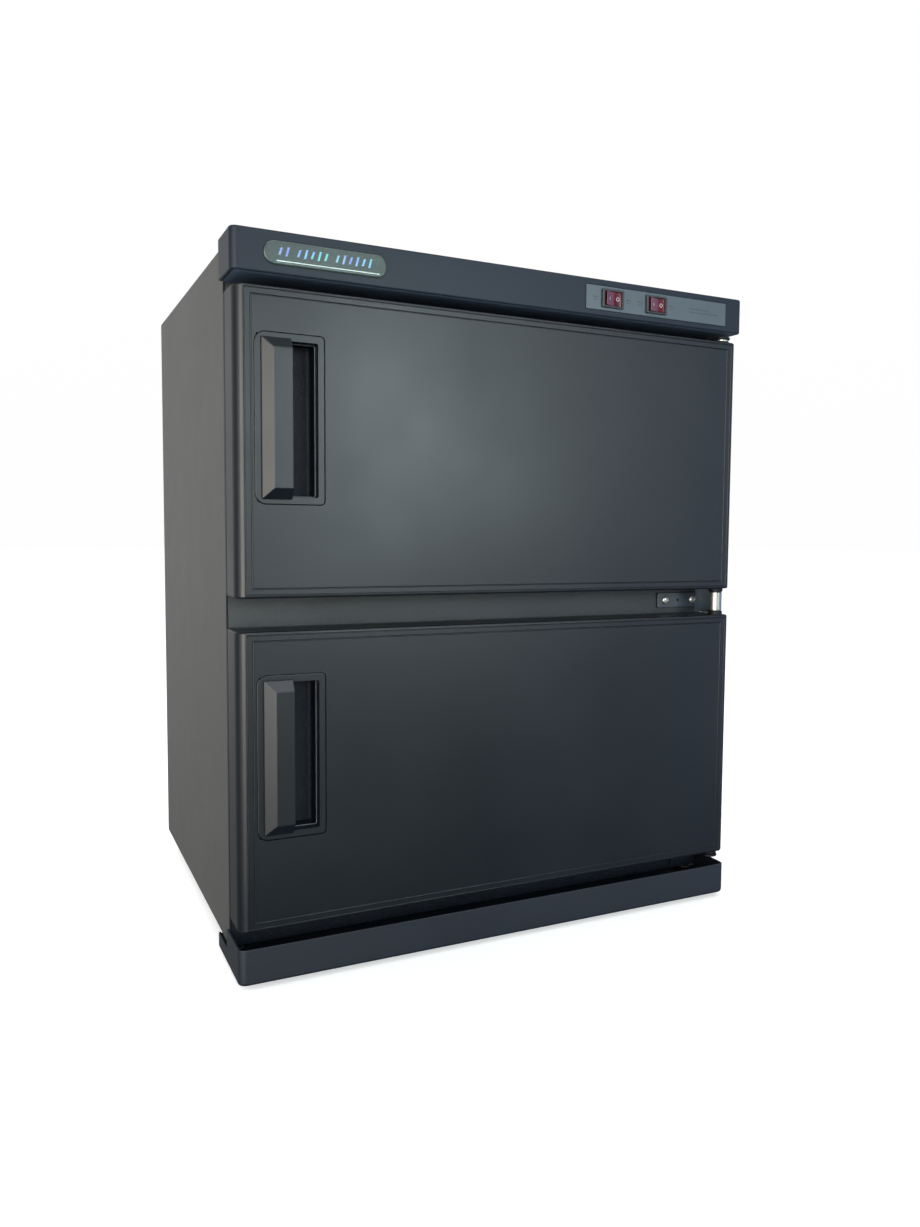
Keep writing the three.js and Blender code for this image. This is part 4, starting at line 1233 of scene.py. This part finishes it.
def make_liner(level):
    """A pressed aluminium box with round inner corners and a flange behind the face sheet."""
    low, high = box_of(f"{level}_chamber_liner")
    front, back = low.y, high.y - 1

    def mouth(grow, corner=LINER_CORNER):
        return rounded_outline(*facing(low, high, LINER_FLANGE - grow), corner, 6)

    bend, round_back = 2, 4
    stations = [(mouth(LINER_FLANGE, 1), front)]
    for angle in quarter_turn(4):
        stations.append((mouth(bend * (1 - sin(angle))), front + bend * (1 - cos(angle))))
    stations.append((mouth(0), back - round_back))
    for angle in quarter_turn(4)[1:]:
        stations.append((mouth(-round_back * (1 - cos(angle))), back - round_back * (1 - sin(angle))))
    liner = loft(f"{level}_liner", "y", stations, cap_start=False)
    solidify = liner.modifiers.new("solidify", "SOLIDIFY")
    solidify.thickness = 0.8 * MM
    solidify.offset = 1
    bake(liner)
    piece(liner, "cabinet", "aluminium", f"{level}_chamber_liner")


def make_rack(level):
    """Round wires: an outer frame with bent corners, long bars and two bent legs."""
    low, high = box_of(f"{level}_rack")
    frame_radius, bar_radius = 2, 1.5
    z, floor = high.z - frame_radius, low.z + frame_radius
    x0, x1 = span(low.x, high.x, frame_radius)
    y0, y1 = span(low.y, high.y, frame_radius)
    ring = [(x, y, z) for x, y in rounded_outline((x0, x1), (y0, y1), 9, 6)]
    outer = wires(f"{level}_wire_rack", [ring], frame_radius, closed=True)
    count = 11
    bars = []
    for i in range(count):
        x = x0 + (i + 1) * (x1 - x0) / (count + 1)
        bars.append([(x, y0, z), (x, y1, z)])
    legs = []
    for side in (-1, 1):
        x = side * (x1 - 24)
        leg_y = span(y0, y1, 20)
        foot = [(x, leg_y[0], z), (x, leg_y[0], floor), (x, leg_y[1], floor), (x, leg_y[1], z)]
        legs.append(rounded_path([(x, y0, z), *foot, (x, y1, z)], 5))
    merge(outer, wires("bars", bars, bar_radius), wires("legs", legs, frame_radius))
    piece(outer, f"{level}_rack", "chrome", f"{level}_rack", smooth_angle=60)


def make_lamp():
    """The lamp tube with its metal end caps, and holders with softened edges."""
    low, high = box_of("uv_lamp_tube")
    centre = middle_of("uv_lamp_tube")
    middle = (centre.y, centre.z)
    radius = (high.z - low.z) / 2
    cap = 11
    x0, x1 = span(low.x, high.x, cap)
    profile = [(radius - 1.5, x0), (radius - 0.4, x0 + 1), (radius - 0.4, x1 - 1), (radius - 1.5, x1)]
    piece(lathe("lamp_glass_tube", "x", middle, profile, 40), "cabinet", "lamp_glass", "uv_lamp_tube")
    for side, (start, end) in (("left", (low.x, x0)), ("right", (x1, high.x))):
        metal = lathe(f"lamp_cap_{side}", "x", middle, chamfered(radius, start, end, edge=0.6), 40)
        piece(metal, "cabinet", "aluminium")
        node = f"uv_lamp_holder_{side}"
        holder_low, holder_high = box_of(node)
        x, y, z = zip(holder_low, holder_high)
        holder = rounded_slab(f"lamp_holder_{side}", "x", y, z, x, corner=(5, 5, 1, 1), edge=0.6)
        piece(holder, "cabinet", "white_ceramic", node)


# ------------------------------------------------------------------ studio


# A gloss light is seen only in reflections and a soft one only lights the surfaces. Each has its
# place, its target, its size, its power in watts and its colour.
LIGHTS = {
    "key": ("gloss", (1.9, -6.0, 1.04), (0, 0, 0.35), (1.7, 1.5), 195, (0.86, 0.99, 1.0)),
    "fill": ("soft", (-0.3, -3.2, 1.15), (0, 0, 0.3), (1.6, 0.8), 90, (0.9, 0.98, 1.0)),
    "side": ("gloss", (-1.57, -1.92, 0.42), (-0.2, -0.19, 0.42), (2.15, 1.4), 132, (1.0, 0.94, 0.84)),
    "wing": ("gloss", (-2.37, -0.65, 0.3), (-0.22, -0.19, 0.3), (1.6, 1.6), 22, (1.0, 0.95, 0.88)),
    "right": ("gloss", (2.1, -1.3, 0.3), (0.2, -0.19, 0.3), (1.5, 1.8), 17, (0.5, 0.65, 1.0)),
    "edge light": ("gloss", (0.2, -1.7, 2.4), (0, -0.2, 0.3), (3.0, 0.5), 70, (0.95, 0.98, 1.0)),
    "bounce": ("soft", (0.2, -1.6, 0.04), (0, -0.17, 0.52), (1.4, 0.3), 3, (0.85, 0.95, 1.0)),
    "left": ("soft", (-1.7, 1.3, 0.5), (-0.2, 0.1, 0.3), (1.2, 1.2), 45, (1.0, 0.99, 0.97)),
}


def area_light(name, kind, place, target, size, power, colour):
    data = bpy.data.lights.new(name, "AREA")
    data.shape = "RECTANGLE"
    data.size, data.size_y = size
    data.energy = power
    data.color = colour
    light = bpy.data.objects.new(name, data)
    light.location = place
    light.rotation_euler = (Vector(target) - Vector(place)).to_track_quat("-Z", "Y").to_euler()
    light.visible_camera = False
    light.visible_diffuse = kind == "soft"
    light.visible_glossy = kind == "gloss"
    bpy.context.scene.collection.objects.link(light)


def make_world():
    """Dim surroundings, brighter behind the cabinet; the camera itself sees a white backdrop."""
    world = bpy.data.worlds.new("studio")
    world.use_nodes = True
    nodes, links = world.node_tree.nodes, world.node_tree.links
    split = nodes.new("ShaderNodeSeparateXYZ")
    links.new(nodes.new("ShaderNodeTexCoord").outputs["Generated"], split.inputs["Vector"])

    def fade(direction, *limits):
        return map_range(world.node_tree, split.outputs[direction], *limits)

    def sky(strength):
        background = nodes.new("ShaderNodeBackground")
        background.inputs["Color"].default_value = (1, 1, 1, 1)
        links.new(strength, background.inputs["Strength"])
        return background.outputs[0]

    shaded = nodes.new("ShaderNodeMath")
    shaded.operation = "MULTIPLY"
    links.new(fade("Y", 0.3, 0.9, 0.18, 0.7), shaded.inputs[0])
    links.new(fade("Z", -0.35, 0.0, 0.3, 1.0), shaded.inputs[1])
    choose = nodes.new("ShaderNodeMixShader")
    links.new(nodes.new("ShaderNodeLightPath").outputs["Is Camera Ray"], choose.inputs[0])
    links.new(sky(shaded.outputs[0]), choose.inputs[1])
    links.new(sky(fade("Z", 0.0, 0.3, 0.99, 1.0)), choose.inputs[2])
    links.new(choose.outputs[0], nodes["World Output"].inputs["Surface"])
    bpy.context.scene.world = world


def make_studio():
    bpy.context.scene.view_settings.view_transform = "Standard"
    make_world()
    for name, light in LIGHTS.items():
        area_light(name, *light)
    data = bpy.data.lights.new("overhead", "SUN")
    data.energy = 1.9
    data.angle = radians(110)
    overhead = bpy.data.objects.new("overhead", data)
    overhead.visible_glossy = False
    bpy.context.scene.collection.objects.link(overhead)


def make_floor():
    half_width = 14
    clearance = 0.0002
    bm = bmesh.new()
    bmesh.ops.create_grid(bm, x_segments=1, y_segments=1, size=half_width)
    floor = from_bmesh(bm, "floor", unit=1)
    floor.location.z = -clearance
    shader = Shader("pale_floor")
    shader.mottle((0.82, 0.82, 0.82), 0.01, 3).roughness(0.6, 0.75, 4).bump(300, 0.00005)
    shader.set(Emission_Color=(1, 1, 1, 1), Emission_Strength=0.4)
    floor.data.materials.append(shader.material)
    floor.visible_glossy = False


def make_camera():
    """The photograph's camera, worked out from the cabinet's edges."""
    place = Vector((-0.3712, -0.9263, 0.3491))
    yaw, pitch, roll = radians(27.93), radians(-4.2), radians(0.71)
    forward = Vector((sin(yaw) * cos(pitch), cos(yaw) * cos(pitch), sin(pitch)))
    level = Vector((cos(yaw), -sin(yaw), 0))
    upright = level.cross(forward)
    right = level * cos(roll) + upright * sin(roll)
    up = upright * cos(roll) - level * sin(roll)
    data = bpy.data.cameras.new("camera")
    data.lens = 29.16
    data.shift_x = -0.0617
    data.shift_y = -0.0101
    camera = bpy.data.objects.new("camera", data)
    axes = Matrix((right, up, -forward)).transposed()
    camera.matrix_world = Matrix.Translation(place) @ axes.to_4x4()
    bpy.context.scene.collection.objects.link(camera)
    bpy.context.scene.camera = camera


# ------------------------------------------------------------------ build

make_camera()
make_floor()
make_studio()
dress_cad_nodes()
make_wrap()
make_front_frame()
make_softened_parts()
make_feet()
make_back_screws()
make_inlet()
for door_level in LEVELS:
    make_door(door_level)
    make_liner(door_level)
    make_rack(door_level)
make_hinge_collars()
make_head()
make_switch_panel()
make_badge()
for switch_use in USES:
    make_switch(switch_use)
make_mid_hinge()
for hinge_plate in ("top_hinge_plate", "bottom_hinge_plate"):
    make_end_hinge(hinge_plate)
make_tray()
make_lamp()
